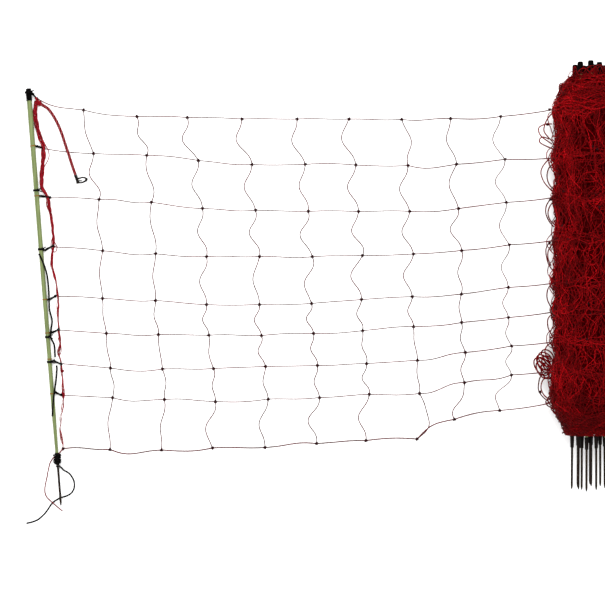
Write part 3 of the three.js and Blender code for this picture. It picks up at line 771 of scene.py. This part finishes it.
# Where the lines and stays cross in the picture: a row for each line, and a column for each stay
knotAcross = np.array([
    (83.5, 137, 187.3, 242, 297, 349, 401.6, 450.5, 500.5),
    (93.5, 146.7, 198.5, 252, 305.3, 355.8, 408, 456.6, 505),
    (99, 151.4, 202.5, 255.6, 308.4, 358.5, 409.7, 458.5, 506.2),
    (102.7, 155.6, 206.5, 259.5, 312.3, 362.5, 413.5, 461.7, 509.4),
    (102.5, 155.5, 206.5, 259.5, 311.5, 361.5, 412.3, 461.3, 508.2),
    (106.3, 158.5, 208.8, 261.5, 313.5, 362.5, 413.5, 461.5, 508.5),
    (110.5, 162.5, 213.5, 265.5, 317.5, 366.6, 417.4, 465.2, 511.5),
    (112.7, 164.5, 215.5, 268.2, 319.5, 369.3, 419.5, 464.5, 511.5),
    (110, 161.5, 212.5, 265, 316.5, 366, 417, 454.3, 499.5),
])
knotDown = np.array([
    (110, 116.5, 117.5, 119, 119, 119, 119.4, 118.5, 116.5),
    (153.5, 155.3, 160.5, 164.5, 164.3, 165, 165.5, 164.2, 159.3),
    (199.5, 202.3, 208.5, 210.2, 211.3, 211.5, 211.3, 208.5, 202.4),
    (250.7, 253.7, 256.6, 256.5, 256.7, 255.5, 254, 250.4, 244.8),
    (298.5, 300.5, 304.6, 304.5, 303.4, 299.5, 296.7, 294, 287.4),
    (333.3, 334.5, 335.2, 335.5, 333.5, 330.6, 326.6, 322.5, 317.5),
    (368, 369, 368.5, 366.5, 365.5, 363.5, 360.2, 352.4, 346),
    (397.7, 399.5, 401.5, 399, 397.5, 394.3, 393.5, 382.5, 375),
    (449.5, 450, 448, 447.5, 443.5, 440.5, 439, 419.3, 410.5),
])
# Where each line leaves the bunch
startAcross = np.array([36.2, 43.6, 49.4, 54.4, 56.4, 58.8, 61.2, 62.4, 63.3])
startDown = np.array([97.8, 148.6, 198.0, 247.0, 296.4, 330.0, 363.6, 395.2, 448.6])
# Where each line goes into the roll
rollAcross = np.full(9, 550.0)
rollDown = np.array([109, 158, 197, 240, 282.5, 311, 341, 370, 401.0])
# Each stay between two lines leaves the straight by bow sin(pi s) + second sin(2 pi s) + third sin(3 pi s),
# in mm, to the right: a row for each stay
stayBow = np.array([
    (-8, -12, -9, -8, -3, -2, 5, -8), (-4, 3, -4, -6, -6, -2, 6, -4),
    (-25, -19, -13, -14, -11, -6, -4, -18), (-24, -23, -16, -16, -14, -12, -9, -17),
    (-22, -17, -23, -15, -13, -10, -10, -21), (-25, -22, -17, -27, -11, -4, -12, -21),
    (15, -22, -23, -23, -12, -2, -2, 31), (-16, -22, -22, -6, -6, -7, -9, -1),
    (-25, -23, -20, -16, -13, -10, -12, -19),
])
staySecond = np.array([
    (0, -7, -1, -1, 0, -1, -2, -1), (-5, -8, -5, -1, -2, -1, 2, 2), (4, 0, -2, 2, 0, 2, 2, 7),
    (-4, 0, -1, -2, 1, 2, -1, 1), (0, -3, 4, 8, 2, -1, 1, 0), (-6, -2, -7, -5, -3, -2, -2, -1),
    (3, 2, -1, 0, -1, -1, -2, -7), (-2, -3, 1, 0, -1, 2, 3, 8), (4, 2, 5, 2, 1, 3, 3, 7),
])
stayThird = np.array([
    (1, 6, 2, 1, 1, 1, -1, 2), (6, 1, 1, 2, 2, 0, -1, 3), (6, 6, 7, 6, 4, 1, 3, 4), (6, 5, 8, 3, 4, 4, 2, 5),
    (5, 5, 7, 5, 5, 4, 3, 8), (4, 6, 7, 5, 4, 3, 5, 6), (-4, 5, 5, 5, 3, 1, 1, 3), (4, 2, 7, 5, 1, 2, 2, -3),
    (3, 6, 3, 5, 3, 2, 4, 5),
])
# Each line between two stays does the same upwards, with two terms: a row for each line, from the bunch to
# the roll
lineBow = np.array([
    (-10, -5.2, 1.7, 1.6, 0.6, 0.4, -1.2, -2.2, -3.7, -2),
    (-3, 0.3, 3.5, -3, -1.7, 3.3, -2.2, -9, -1.4, -2),
    (3, -0.9, -2.1, -2.7, -0.5, 1.8, 1.4, -4.7, 0.5, -2), (2, -5.4, -3, 0.2, -2, 1, -1.2, -1.4, -2, -2),
    (2, -2.6, -0.4, -1.8, -0.9, 0.2, 1, -3.5, -0.6, -2), (0, -3.3, 0.3, 1, 2.8, -2.8, 2.2, -3.3, -0.6, -2),
    (0, -7.5, -0.9, 0.3, -0.1, -0.5, -0.3, -1.7, -2.1, -2),
    (0, -7, 2.4, -4.5, -2.2, -0.4, -3, -0.5, -3.2, -2), (2, -10.5, -6.1, 0.5, 4, 1.4, 4.6, 15.4, 5.4, -4),
])
lineSecond = np.array([
    (-2, -0.6, -0.6, -0.2, 0.5, 0.7, 0.9, -1.8, 0.4, 0), (0, -0.6, 0.2, 1.2, -0.2, 0.1, 0.3, -1.5, -0.2, 0),
    (0, 2.8, 0.7, 1.4, 0.3, 0.1, -0.5, 0, 0.1, 0), (0, 1.7, 0.3, 1.2, 1.3, 0.5, -0.2, 0, 0.1, 0),
    (0, 1.4, 0.6, -0.1, 0.8, 0.2, -0.2, -0.5, -0.4, 0), (0, 1.6, 0.3, 1, 0.1, 0, -0.8, 0.4, 0.2, 0),
    (0, 0.4, 0.9, 0.1, 0.2, -0.6, 0, -3, 0.1, 0), (0, -2, 1.3, 0.1, 0.8, -0.8, 0.6, -4.6, 2.6, 0),
    (2, -3.6, 0.6, 1.2, -2, -0.7, -0.1, 2.2, 0, 0),
])


def layHeight(x):
    # The net climbs from the floor to the roll: riseHeight times the square of the way there. x and result
    # in mm
    climb = np.maximum(0, (x - net["riseStart"]) / (net["riseEnd"] - net["riseStart"]))
    return net["floorGap"] + net["riseHeight"] * climb**2


def layOnFloor(across, down):
    # Places in the picture as (x, y) in mm: first on the floor, then at the height that the net has there
    x, y, _ = fromPicture(across, down)
    for _ in range(3):
        x, y, _ = fromPicture(across, down, layHeight(x / mm) * mm)
    return np.stack([x, y], -1) / mm


knots = layOnFloor(knotAcross, knotDown)
lineFrom = layOnFloor(startAcross, startDown)
lineTo = layOnFloor(rollAcross, rollDown)
lineTo[:, 0] += net["runOn"]
lineEnds = lineTo[:, 1]


def spanPath(corners, across, bows):
    # Straight from corner to corner, plus each row of bows times sin(pi n s) along one direction
    s = (np.arange(24) / 24)[None, :, None]
    spans = corners[:-1, None] * (1 - s) + corners[1:, None] * s
    waves = sum(bow[:, None] * np.sin(math.pi * (n + 1) * s[0, :, 0])[None] for n, bow in enumerate(bows))
    spans[..., across] += waves
    return np.concatenate([spans.reshape(-1, 2), corners[-1:]])


def linePath(line):
    # From the bunch through the line's knots into the roll, bowed up the picture
    corners = np.concatenate([lineFrom[line : line + 1], knots[line], lineTo[line : line + 1]])
    plan = spanPath(corners, 1, (lineBow[line], lineSecond[line]))
    return evenSteps(np.column_stack([plan, layHeight(plan[:, 0])]) * mm, net["step"])


def stayPath(stay):
    # Through the stay's knots, bowed to the right
    plan = spanPath(knots[:, stay], 0, (stayBow[stay], staySecond[stay], stayThird[stay]))
    return evenSteps(np.column_stack([plan, layHeight(plan[:, 0]) + net["stayLift"]]) * mm, net["step"])


def lineTube(line):
    # The line's tube, thicker towards the roll
    path = linePath(line)
    left = net["bottomRadius"] if line == 8 else net["lineRadius"]
    radius = np.interp(path[:, 0], net["tighten"], [left, max(left, net["rightRadius"])])
    return tube(path, radius, 6)


lineParts = [lineTube(line) for line in range(9)]
stayParts = [tube(stayPath(stay), net["stayRadius"], 6) for stay in range(9)]
addPiece("netLines", lineParts, finishes["netTwine"], ["netting"], [0.5] * 9)
addPiece("netStays", stayParts, finishes["netTwine"], ["netting"], [0.4] * 9)
knotPlaces = np.concatenate([knots.reshape(-1, 2), lineFrom[-1:]])
knotCentres = np.column_stack([knotPlaces, layHeight(knotPlaces[:, 0]) + net["knotLift"]]) * mm
knotTurns = np.random.default_rng(3).uniform(0, full, len(knotCentres))
addPiece(
    "netKnots",
    [tube(knotPaths(knotCentres, net["knotSize"], 0.5, knotTurns, 22), net["knotStrand"], 5, closed=True)],
    finishes["knotTwine"],
    ["netting"],
)

# the roll
print("roll")
roll = {
    "middleHeight": 0.087,
    "twineRadius": 1.05 * mm,
    "sides": 5,
    "low": -0.511,  # no strand reaches past these places along Y
    "high": 0.514,
    "stays": 160,
    "curls": 660,
    "fringe": (95, 80),  # slack loops at the left and at the right
    "seed": 7,
    "capSeed": 23,
    "foldSeed": 31,
}
# How far the dense bundle reaches to each side and up from its middle, in mm, at places along it. It is
# widest where a line of the net goes round, and narrower between two of them
rollShape = np.array([
    (-512, 78, 50), (-505, 82, 57), (-482, 84, 64), (-468, 96, 71), (-445, 110, 80), (-417, 127, 89),
    (-370, 122, 93), (-325, 122, 95), (-283, 109, 95), (-242, 121, 95), (-199, 109, 95), (-156, 121, 95),
    (-115, 109, 95), (-75, 121, 95), (-14, 107, 95), (47, 121, 95), (108, 107, 95), (170, 121, 95),
    (226, 107, 95), (282, 120, 95), (352, 106, 95), (410, 119, 94), (430, 111, 82), (447, 104, 77),
    (462, 99, 74), (490, 92, 64), (504, 76, 54), (516, 68, 46),
], float).T * mm
levels = lineEnds * mm
rng = np.random.default_rng(roll["seed"])


def rollPoint(turn, y, depth):
    # A point of the bundle: (wide - depth) cos of the turn across and (tall - depth) sin of it up, and
    # never under the floor. turn runs from +X over the top
    x = (np.interp(y, rollShape[0], rollShape[1]) - depth) * np.cos(turn)
    z = roll["middleHeight"] + (np.interp(y, rollShape[0], rollShape[2]) - depth) * np.sin(turn)
    return np.stack([x, y + 0 * x, np.maximum(z, roll["twineRadius"] * 1.35)], -1)


def outward(turn):
    # The way out of the bundle, a little flatter than its outline
    return unit(np.stack([np.cos(turn) * 0.8, 0 * turn, np.sin(turn)], -1))


def wander(count, steps, length, wave, waves=4):
    # Smooth random motion, as a sum of sines of random phase whose waves are about as long as wave
    t = np.linspace(0, length, steps)[None, :, None]
    rate = rng.uniform(0.5, 1.6, (count, 1, waves)) / wave
    phase = rng.uniform(0, full, (count, 1, waves))
    return np.sin(full * rate * t + phase).sum(-1) / math.sqrt(waves / 2)


def gapShare(y):
    # Nought at each line and one halfway to the next
    gap = np.interp(y, levels[::-1], np.arange(9))
    return np.sin(math.pi * (gap % 1)) ** 2


def rollStays(count, low, high, base):
    # Stays that run down the bundle: turn and depth wander, and bulge outwards between two lines
    steps = 118
    y = np.linspace(0.506, -0.506, steps)[None] + wander(count, steps, 1.0, 0.22) * 4 * mm
    y = np.clip(y, roll["low"], roll["high"] - mm)
    start = rng.uniform(low, high, (count, 1)) * full
    turn = start + wander(count, steps, 1.0, 0.5) * 0.10 + wander(count, steps, 1.0, 0.12) * 0.085
    depth = base * mm + rng.uniform(-2, 9, (count, 1)) * mm + wander(count, steps, 1.0, 0.1) * 3 * mm
    depth = depth - gapShare(y) * rng.uniform(0, 6, (count, 1)) * mm
    return rollPoint(turn, y, depth), outward(turn)


def rollLines(level, turns, spread, deep):
    # A line wound round the bundle: its place along Y and its depth wander with the turn
    steps = int(turns * 110)
    turn = np.linspace(0.5, 0.5 + turns, steps)[None] * full
    y = level + wander(1, steps, turns * 0.7, 0.35) * spread + wander(1, steps, turns * 0.7, 0.09) * 3 * mm
    y = np.clip(y, roll["low"], roll["high"])
    depth = deep * mm + wander(1, steps, turns * 0.7, 0.3) * 4 * mm
    return rollPoint(turn, y, depth), outward(turn)


def rollCurls(count, low, high):
    # Slack twine: part of an ellipse laid on the bundle's surface, turned at random and drawn out along it
    steps = 27
    t = np.linspace(0, 1, steps)[None]
    sweepAngle = rng.uniform(0.45, 1.25, (count, 1)) * full * t + rng.uniform(0, full, (count, 1))
    wide = rng.uniform(9, 30, (count, 1)) * mm
    tall = rng.uniform(6, 20, (count, 1)) * mm
    lean = rng.uniform(0, math.pi, (count, 1))
    p, q = wide * np.cos(sweepAngle), tall * np.sin(sweepAngle)
    drift = rng.uniform(-30, 30, (count, 1)) * mm * t
    across = p * np.cos(lean) - q * np.sin(lean)
    y = rng.uniform(-0.49, 0.48, (count, 1)) + p * np.sin(lean) + q * np.cos(lean) + drift
    y = np.clip(y, -0.508, 0.508)
    turn = rng.uniform(low, high, (count, 1)) * full + across / 0.12
    depth = rng.uniform(-3, 7, (count, 1)) * mm + wander(count, steps, 0.15, 0.1) * 3 * mm
    return rollPoint(turn, y, depth), outward(turn)


def rollFringe(count, sideTurn):
    # Slack loops that stand out at one side: along the bundle from one place to a lower one, and outwards
    # by reach times sin(pi t), skewed so that each loop hangs
    steps = 34
    t = np.linspace(0, 1, steps)[None]
    skewed = t + 0.12 * np.sin(full * t) * rng.uniform(-1, 1, (count, 1))
    length = rng.uniform(22, 92, (count, 1)) * mm
    top = rng.uniform(-0.40, 0.43, (count, 1))
    reach = rng.uniform(0.12, 0.34, (count, 1)) * np.minimum(length, 70 * mm)
    reach = reach + rng.uniform(0, 6, (count, 1)) * mm
    y = top - length * skewed + wander(count, steps, 1.0, 0.6) * 2 * mm
    turn = sideTurn + rng.uniform(-0.6, 0.6, (count, 1)) + wander(count, steps, 1.0, 0.7) * 0.06
    room = np.interp(y, rollShape[0], rollShape[1])
    depth = 4 * mm - reach * np.sin(math.pi * t) ** 0.8
    depth = np.maximum(depth, room - 137 * mm)
    return rollPoint(turn, y, depth), outward(turn)


def addStrands(name, groups, bright=0.06, shade=(0.05, 0.62), thick=1.0):
    # The strands' tints lie between two shades, and the share called bright is lighter, a painted highlight
    parts = [tube(paths, roll["twineRadius"] * thick, roll["sides"], up) for paths, up in groups]
    shades = []
    for part in parts:
        lit = rng.random(part["pieces"]) < bright
        shades.append(np.where(lit, 0.95, rng.uniform(*shade, part["pieces"])))
    addPiece(name, parts, finishes["rollTwine"], ["roll_core"], shades)


addStrands("rollStays", [rollStays(roll["stays"], -0.12, 0.62, 2)])
# Where lines of the net lie round the bundle: level, turns, spread and depth in mm, and how many strands
# share them
topLines = [(462, 3.5, 26, 1, 8), (425, 3, 12, 0, 3), (507, 3, 6, -2, 3)]
footLines = [(-504, 3, 5, -2, 6), (-466, 3, 22, -2, 16), (-415, 3, 12, 0, 3)]
middleLines = [(level / mm, 3, 11, 2, 3) for level in levels[1:-1]]


def lineGroup(rows):
    # Wound lines for each row of the table
    group = []
    for level, turns, spread, deep, count in rows:
        group += [rollLines(level * mm, turns, spread * mm, deep) for _ in range(count)]
    return group


addStrands("rollLines", lineGroup(middleLines + topLines), 0.16, (0.0, 0.7), 1.1)
# The lines at the bundle's foot are tinted dark: painted shade
addStrands("rollFootLines", lineGroup(footLines), 0.0, (0.0, 0.28))
addStrands("rollCurls", [rollCurls(roll["curls"], -0.1, 0.6)])
fringe = [rollFringe(count, side) for count, side in zip(roll["fringe"], (math.pi, 0.0))]
addStrands("rollFringe", fringe, 0.02, (0.05, 0.55), 1.3)

# The heart of the bundle, a dark sheet of painted shade under the loose twine
heartY = np.linspace(-0.507, 0.511, 70)
heartTurn = np.arange(72) / 72 * full
heartDepth = (8 + 2 * np.sin(9 * heartTurn[None] + heartY[:, None] * 60)) * mm
heart = rollPoint(-heartTurn[None], heartY[:, None], heartDepth)
heartReach = np.broadcast_to(heartY - heartY[0], (1, 70))
addPiece("rollHeart", [skin(heart[None], heartReach)], finishes["rollShade"], ["roll_core"])

# Knots that show on the bundle
print("roll knots and edge loops")
knotLevels = np.repeat(levels, 6)
knotTurn = rng.uniform(-0.05, 0.55, len(knotLevels)) * full
knotY = knotLevels + rng.normal(0, 12 * mm, len(knotLevels))
knotSpots = rollPoint(knotTurn, knotY, rng.uniform(-3, 6, len(knotLevels)) * mm)
looseTurn = rng.uniform(-0.05, 0.55, 16) * full
looseSpots = rollPoint(looseTurn, rng.uniform(-0.45, 0.45, 16), rng.uniform(0, 8, 16) * mm)
spots = np.concatenate([knotSpots, looseSpots])
addPiece(
    "rollKnots",
    [tube(knotPaths(spots, 2.9 * mm, 0.9, rng.uniform(0, full, len(spots)), 20), 1.2 * mm, 5, closed=True)],
    finishes["knotTwine"],
    ["roll_core"],
)

# Loops that stand out of the bundle's left side, by their places in the picture
edgeLoops = [
    [(553, 112, 70), (548, 118, 74), (545, 124, 76), (544, 131, 74), (548, 137, 70), (552, 141, 66)],
    [
        (552, 124, 80), (546, 124, 80), (539.5, 127, 76), (538.6, 131, 74), (541, 136, 74), (546, 140, 72),
        (552, 144, 68),
    ],
    [(549, 139, 72), (543, 137, 70), (539.5, 139.5, 68), (540.5, 143, 68), (547, 146.5, 68), (553, 149, 70)],
    [
        (554, 156, 70), (547, 161, 68), (542, 168, 66), (541, 174, 66), (544, 182, 68), (549, 188, 70),
        (554, 193, 72),
    ],
    [(555, 162, 80), (549, 168, 80), (547, 176, 78), (549, 184, 76), (554, 190, 74)],
    [(554, 196, 74), (549, 201, 72), (546, 207, 70), (546, 214, 68), (549, 221, 70), (554, 227, 72)],
    [(555, 200, 80), (550, 206, 78), (548, 213, 78), (550, 220, 78), (555, 225, 78)],
    [(554, 238, 74), (549, 243, 72), (546, 249, 70), (546.5, 257, 68), (549, 265, 70), (554, 272, 72)],
    [(553, 244, 80), (548.5, 250, 78), (548, 258, 76), (551, 266, 76)],
    [(554, 282, 74), (549, 287, 72), (547, 293, 70), (547.5, 300, 70), (551, 307, 72), (555, 311, 74)],
    [(554, 313, 74), (549, 317, 72), (547.5, 322, 70), (548.5, 329, 70), (552, 335, 72), (556, 340, 74)],
    [(552, 342, 74), (547, 346, 72), (545, 351, 70), (547, 357, 70), (551, 360, 72)],
    [(549, 372, 60), (541, 376, 52), (538.5, 384, 46), (538.8, 391, 44), (543, 397, 46), (549, 402, 52)],
    [(550, 376, 66), (543, 380, 60), (541, 388, 56), (544, 395, 54), (550, 400, 58)],
    [(551, 398, 60), (546, 401, 56), (547, 405, 56), (552, 408, 58), (557, 410, 60)],
    [(556, 404, 66), (551, 408, 62), (554, 412, 60), (560, 416, 62)],
    [(561, 410, 70), (557, 414, 66), (559, 420, 64), (565, 424, 66)],
    [(562, 418, 70), (561, 424, 66), (564, 430, 66), (569, 432, 70)],
    [(566, 84, 80), (560, 84, 76), (559.5, 90, 74), (563, 96, 74), (568, 98, 78)],
    [(563, 94, 80), (558.5, 97, 76), (558, 102, 74), (562, 107, 76)],
    [(560, 103, 80), (555, 106, 76), (552, 110, 72), (556, 115, 74)],
]
coilLoops = [
    ((541.5, 366.5), 13.5, 6.0, 0.95), ((543.5, 362.5), 12.0, 5.4, 0.9), ((545.5, 359.5), 11.5, 5.6, 0.8),
    ((546.5, 371.0), 11.0, 5.0, 1.2), ((547.5, 355.5), 9.5, 4.6, 0.75),
    ((542.5, 370.0), 12.5, 5.0, 1.05), ((544.5, 365.5), 13.0, 5.0, 0.85), ((548.5, 364.0), 12.0, 5.6, 1.0),
]
parts, tints = [], []
for route in edgeLoops:
    parts.append(tube(smoothPath(pictureRoute(route), 3.0 * mm), 1.8 * mm, 6))
    tints.append(rng.uniform(0.0, 0.35))
for (across, down), wide, tall, lean in coilLoops:
    angle = np.arange(40) / 40 * full
    p, q = wide / 2 * 1.5 * np.cos(angle), tall * np.sin(angle)
    x = across + p * np.cos(lean) - q * np.sin(lean)
    y = down + p * np.sin(lean) + q * np.cos(lean)
    laid = np.array([fromPicture(a, b, (52 + 16 * math.cos(c)) * mm) for a, b, c in zip(x, y, angle)])
    parts.append(tube(laid, 2.1 * mm, 7, closed=True))
    tints.append(0.2)
addPiece("edgeLoops", parts, finishes["rollTwine"], ["roll_core"], tints)
edgeKnots = pictureRoute([
    (549.5, 109.5, 72), (547.5, 124.5, 80), (553, 193, 74), (550.5, 199.5, 74), (549.5, 243, 72),
    (540, 392, 46),
])
edgeKnotPaths = knotPaths(edgeKnots, 3.4 * mm, 0.6, np.arange(len(edgeKnots)) * 1.0, 22)
addPiece(
    "edgeKnots",
    [tube(edgeKnotPaths, 1.5 * mm, 6, closed=True)],
    finishes["knotTwine"],
    ["roll_core"],
)

# Twine thrown over the caps: each loop climbs from the bundle, crosses the caps and goes back down
print("twine over the caps")
capLoops = [
    [(572, 83, 118), (574, 76, 134), (578, 72, 138), (583, 73, 136), (588, 78, 132), (592, 84, 120)],
    [(576, 82, 122), (577, 74, 136), (581, 69, 138), (586, 69, 137), (591, 74, 134), (595, 82, 122)],
    [(580, 82, 122), (584, 72, 136), (590, 66, 138), (596, 67, 137), (600, 74, 132), (603, 82, 120)],
    [(570, 82, 90), (571, 76, 112), (575, 73, 128), (580, 75, 134), (584, 81, 126)],
    [(588, 82, 124), (592, 71, 137), (598, 65, 138), (604, 67, 136), (608, 75, 130), (610, 82, 116)],
    [(573, 80, 124), (580, 77.5, 135), (588, 76.5, 136), (597, 77, 135), (606, 79.5, 126)],
    [(571, 79, 110), (579, 75.5, 135), (590, 74, 137), (601, 75, 134), (609, 78, 122)],
]
parts = []
for route in capLoops:
    parts.append(tube(smoothPath(pictureRoute(route), 2.6 * mm), roll["twineRadius"], 6))
rng = np.random.default_rng(roll["capSeed"])
tints = [0.1, 0.35, 0.15, 0.1, 0.4, 0.3, 0.25]
for start in np.linspace(571, 607, 26):
    # Each small loop climbs beside a cap, crosses its top at an angle and drops between two others
    peak, width, lean = rng.uniform(62.5, 71.0), rng.uniform(2.0, 8.0), rng.uniform(-3.0, 3.0)
    lift = rng.uniform(126, 139)
    route = [
        (start, 82, lift - 22), (start + lean, (82 + peak) / 2, lift - 4),
        (start + lean + width / 2, peak + 3, lift), (start + lean + width, (84 + peak) / 2, lift - 3),
        (start + width, 83, lift - 24),
    ]
    thick = roll["twineRadius"] * rng.uniform(0.8, 1.1)
    parts.append(tube(smoothPath(pictureRoute(route), 2.8 * mm), thick, 6))
    tints.append(rng.uniform(0.0, 0.45))
addPiece("capTwine", parts, finishes["rollTwine"], ["roll_core"], tints)

# Folds drawn tight across the bundle, with painted light near its top and painted shade at its foot
print("roll folds")
rng = np.random.default_rng(roll["foldSeed"])
topFolds = [(478, 2, 9, -3, 5), (452, 2, 9, -3, 6), (432, 2, 8, -3, 4)]
footFolds = [(-500, 2, 5, -3, 5), (-482, 2, 9, -3, 6), (-460, 2, 9, -3, 5)]
addStrands("rollTopFolds", lineGroup(topFolds), 0.3, (0.1, 0.8))
addStrands("rollFootFolds", lineGroup(footFolds), 0.0, (0.0, 0.1), 1.15)

# posts in the roll
print("rolled posts")
rolled = {
    "top": 549,  # the caps' ends along Y, in mm
    "drawnIn": 0.15 / 1212,  # how far a post leans in, for each mm of its X
}
# X at the feet, height and shift along Y of each post, in mm
rolledPosts = [
    (-66, 100, -2), (-52, 120, 5), (-38, 98, -4), (-27, 118, -7), (-14.5, 98, 11), (0, 120, -3), (14, 99, 6),
    (28, 119, -8), (42, 97, 2), (57, 117, 9), (-44, 74, -5), (-8, 72, 4), (30, 74, -1),
]
stubs = []
for number, (x, height, shift) in enumerate(rolledPosts):
    mouth = rolled["top"] + shift - (post["capLength"] + post["length"]) / mm
    lean = math.atan(x * rolled["drawnIn"])
    origin = np.array((x, mouth, height)) * mm
    cap, socket, spike = postPieces(origin, lean)
    leanAxis = postAxis(lean)
    stubs.append(turned([(7.2 * mm, 0.985), (7.2 * mm, 1.0477)], origin, leanAxis, 24))
    stubs.append(turned([(4.3 * mm, -0.0177), (4.3 * mm, 0.0), (4.9 * mm, 0.042)], origin, leanAxis, 20))
    addPiece(
        f"rollCap{number + 1}", [cap], finishes["capPlastic"], [f"roll_cap_{number + 1}"],
        sharp=50,
    )
    foot = addPiece(
        f"rollFoot{number + 1}", [spike, socket], finishes["spikeSteel"],
        [f"roll_foot_{number + 1}"], sharp=50,
    )
    foot.data.materials.append(finishes["socketPlastic"])
    socketFaces = len(socket["faces"][0][0]) + len(socket["faces"][1][0])
    index = np.zeros(len(foot.data.polygons), np.int32)
    index[-socketFaces:] = 1
    foot.data.polygons.foreach_set("material_index", index)
addPiece("rolledPostEnds", stubs, finishes["postPlastic"], ["roll_core"], sharp=40)

# floor and light
print("studio")
floorMesh = bpy.data.meshes.new("floor")
floorMesh.from_pydata([(-15, -15, 0), (15, -15, 0), (15, 15, 0), (-15, 15, 0)], [], [(0, 1, 2, 3)])
floor = bpy.data.objects.new("floor", floorMesh)
scene.collection.objects.link(floor)
floorLook = {"Base Color": linear("#FAFAFA"), "Roughness": 0.9}
floorMesh.materials.append(newFinish("white studio floor", floorLook)[0])
floor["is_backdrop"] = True

lightAim = np.array((-0.7, -0.1, 0.0))
lights = [
    {"name": "keyLight", "place": (-0.6, 1.7, 3.8), "size": 2.4, "power": 150},
    {"name": "fillLight", "place": (-2.2, -1.8, 3.4), "size": 3.2, "power": 85},
]
for entry in lights:
    data = bpy.data.lights.new(entry["name"], "AREA")
    data.size = entry["size"]
    data.energy = entry["power"]
    light = bpy.data.objects.new(entry["name"], data)
    light.location = entry["place"]
    aim = lightAim - np.array(entry["place"])
    light.rotation_euler = (
        math.atan2(math.hypot(aim[0], aim[1]), -aim[2]),
        0.0,
        math.atan2(aim[1], aim[0]) - math.pi / 2,
    )
    scene.collection.objects.link(light)
world = bpy.data.worlds.new("world")
world.use_nodes = True
world.node_tree.nodes["Background"].inputs["Color"].default_value = (1, 1, 1, 1)
world.node_tree.nodes["Background"].inputs["Strength"].default_value = 0.95
scene.world = world
scene.view_settings.view_transform = "Standard"

bpy.context.view_layer.update()
total = sum(len(p.vertices) - 2 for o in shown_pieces() if o.type == "MESH" for p in o.data.polygons)
print("triangles in all", total)
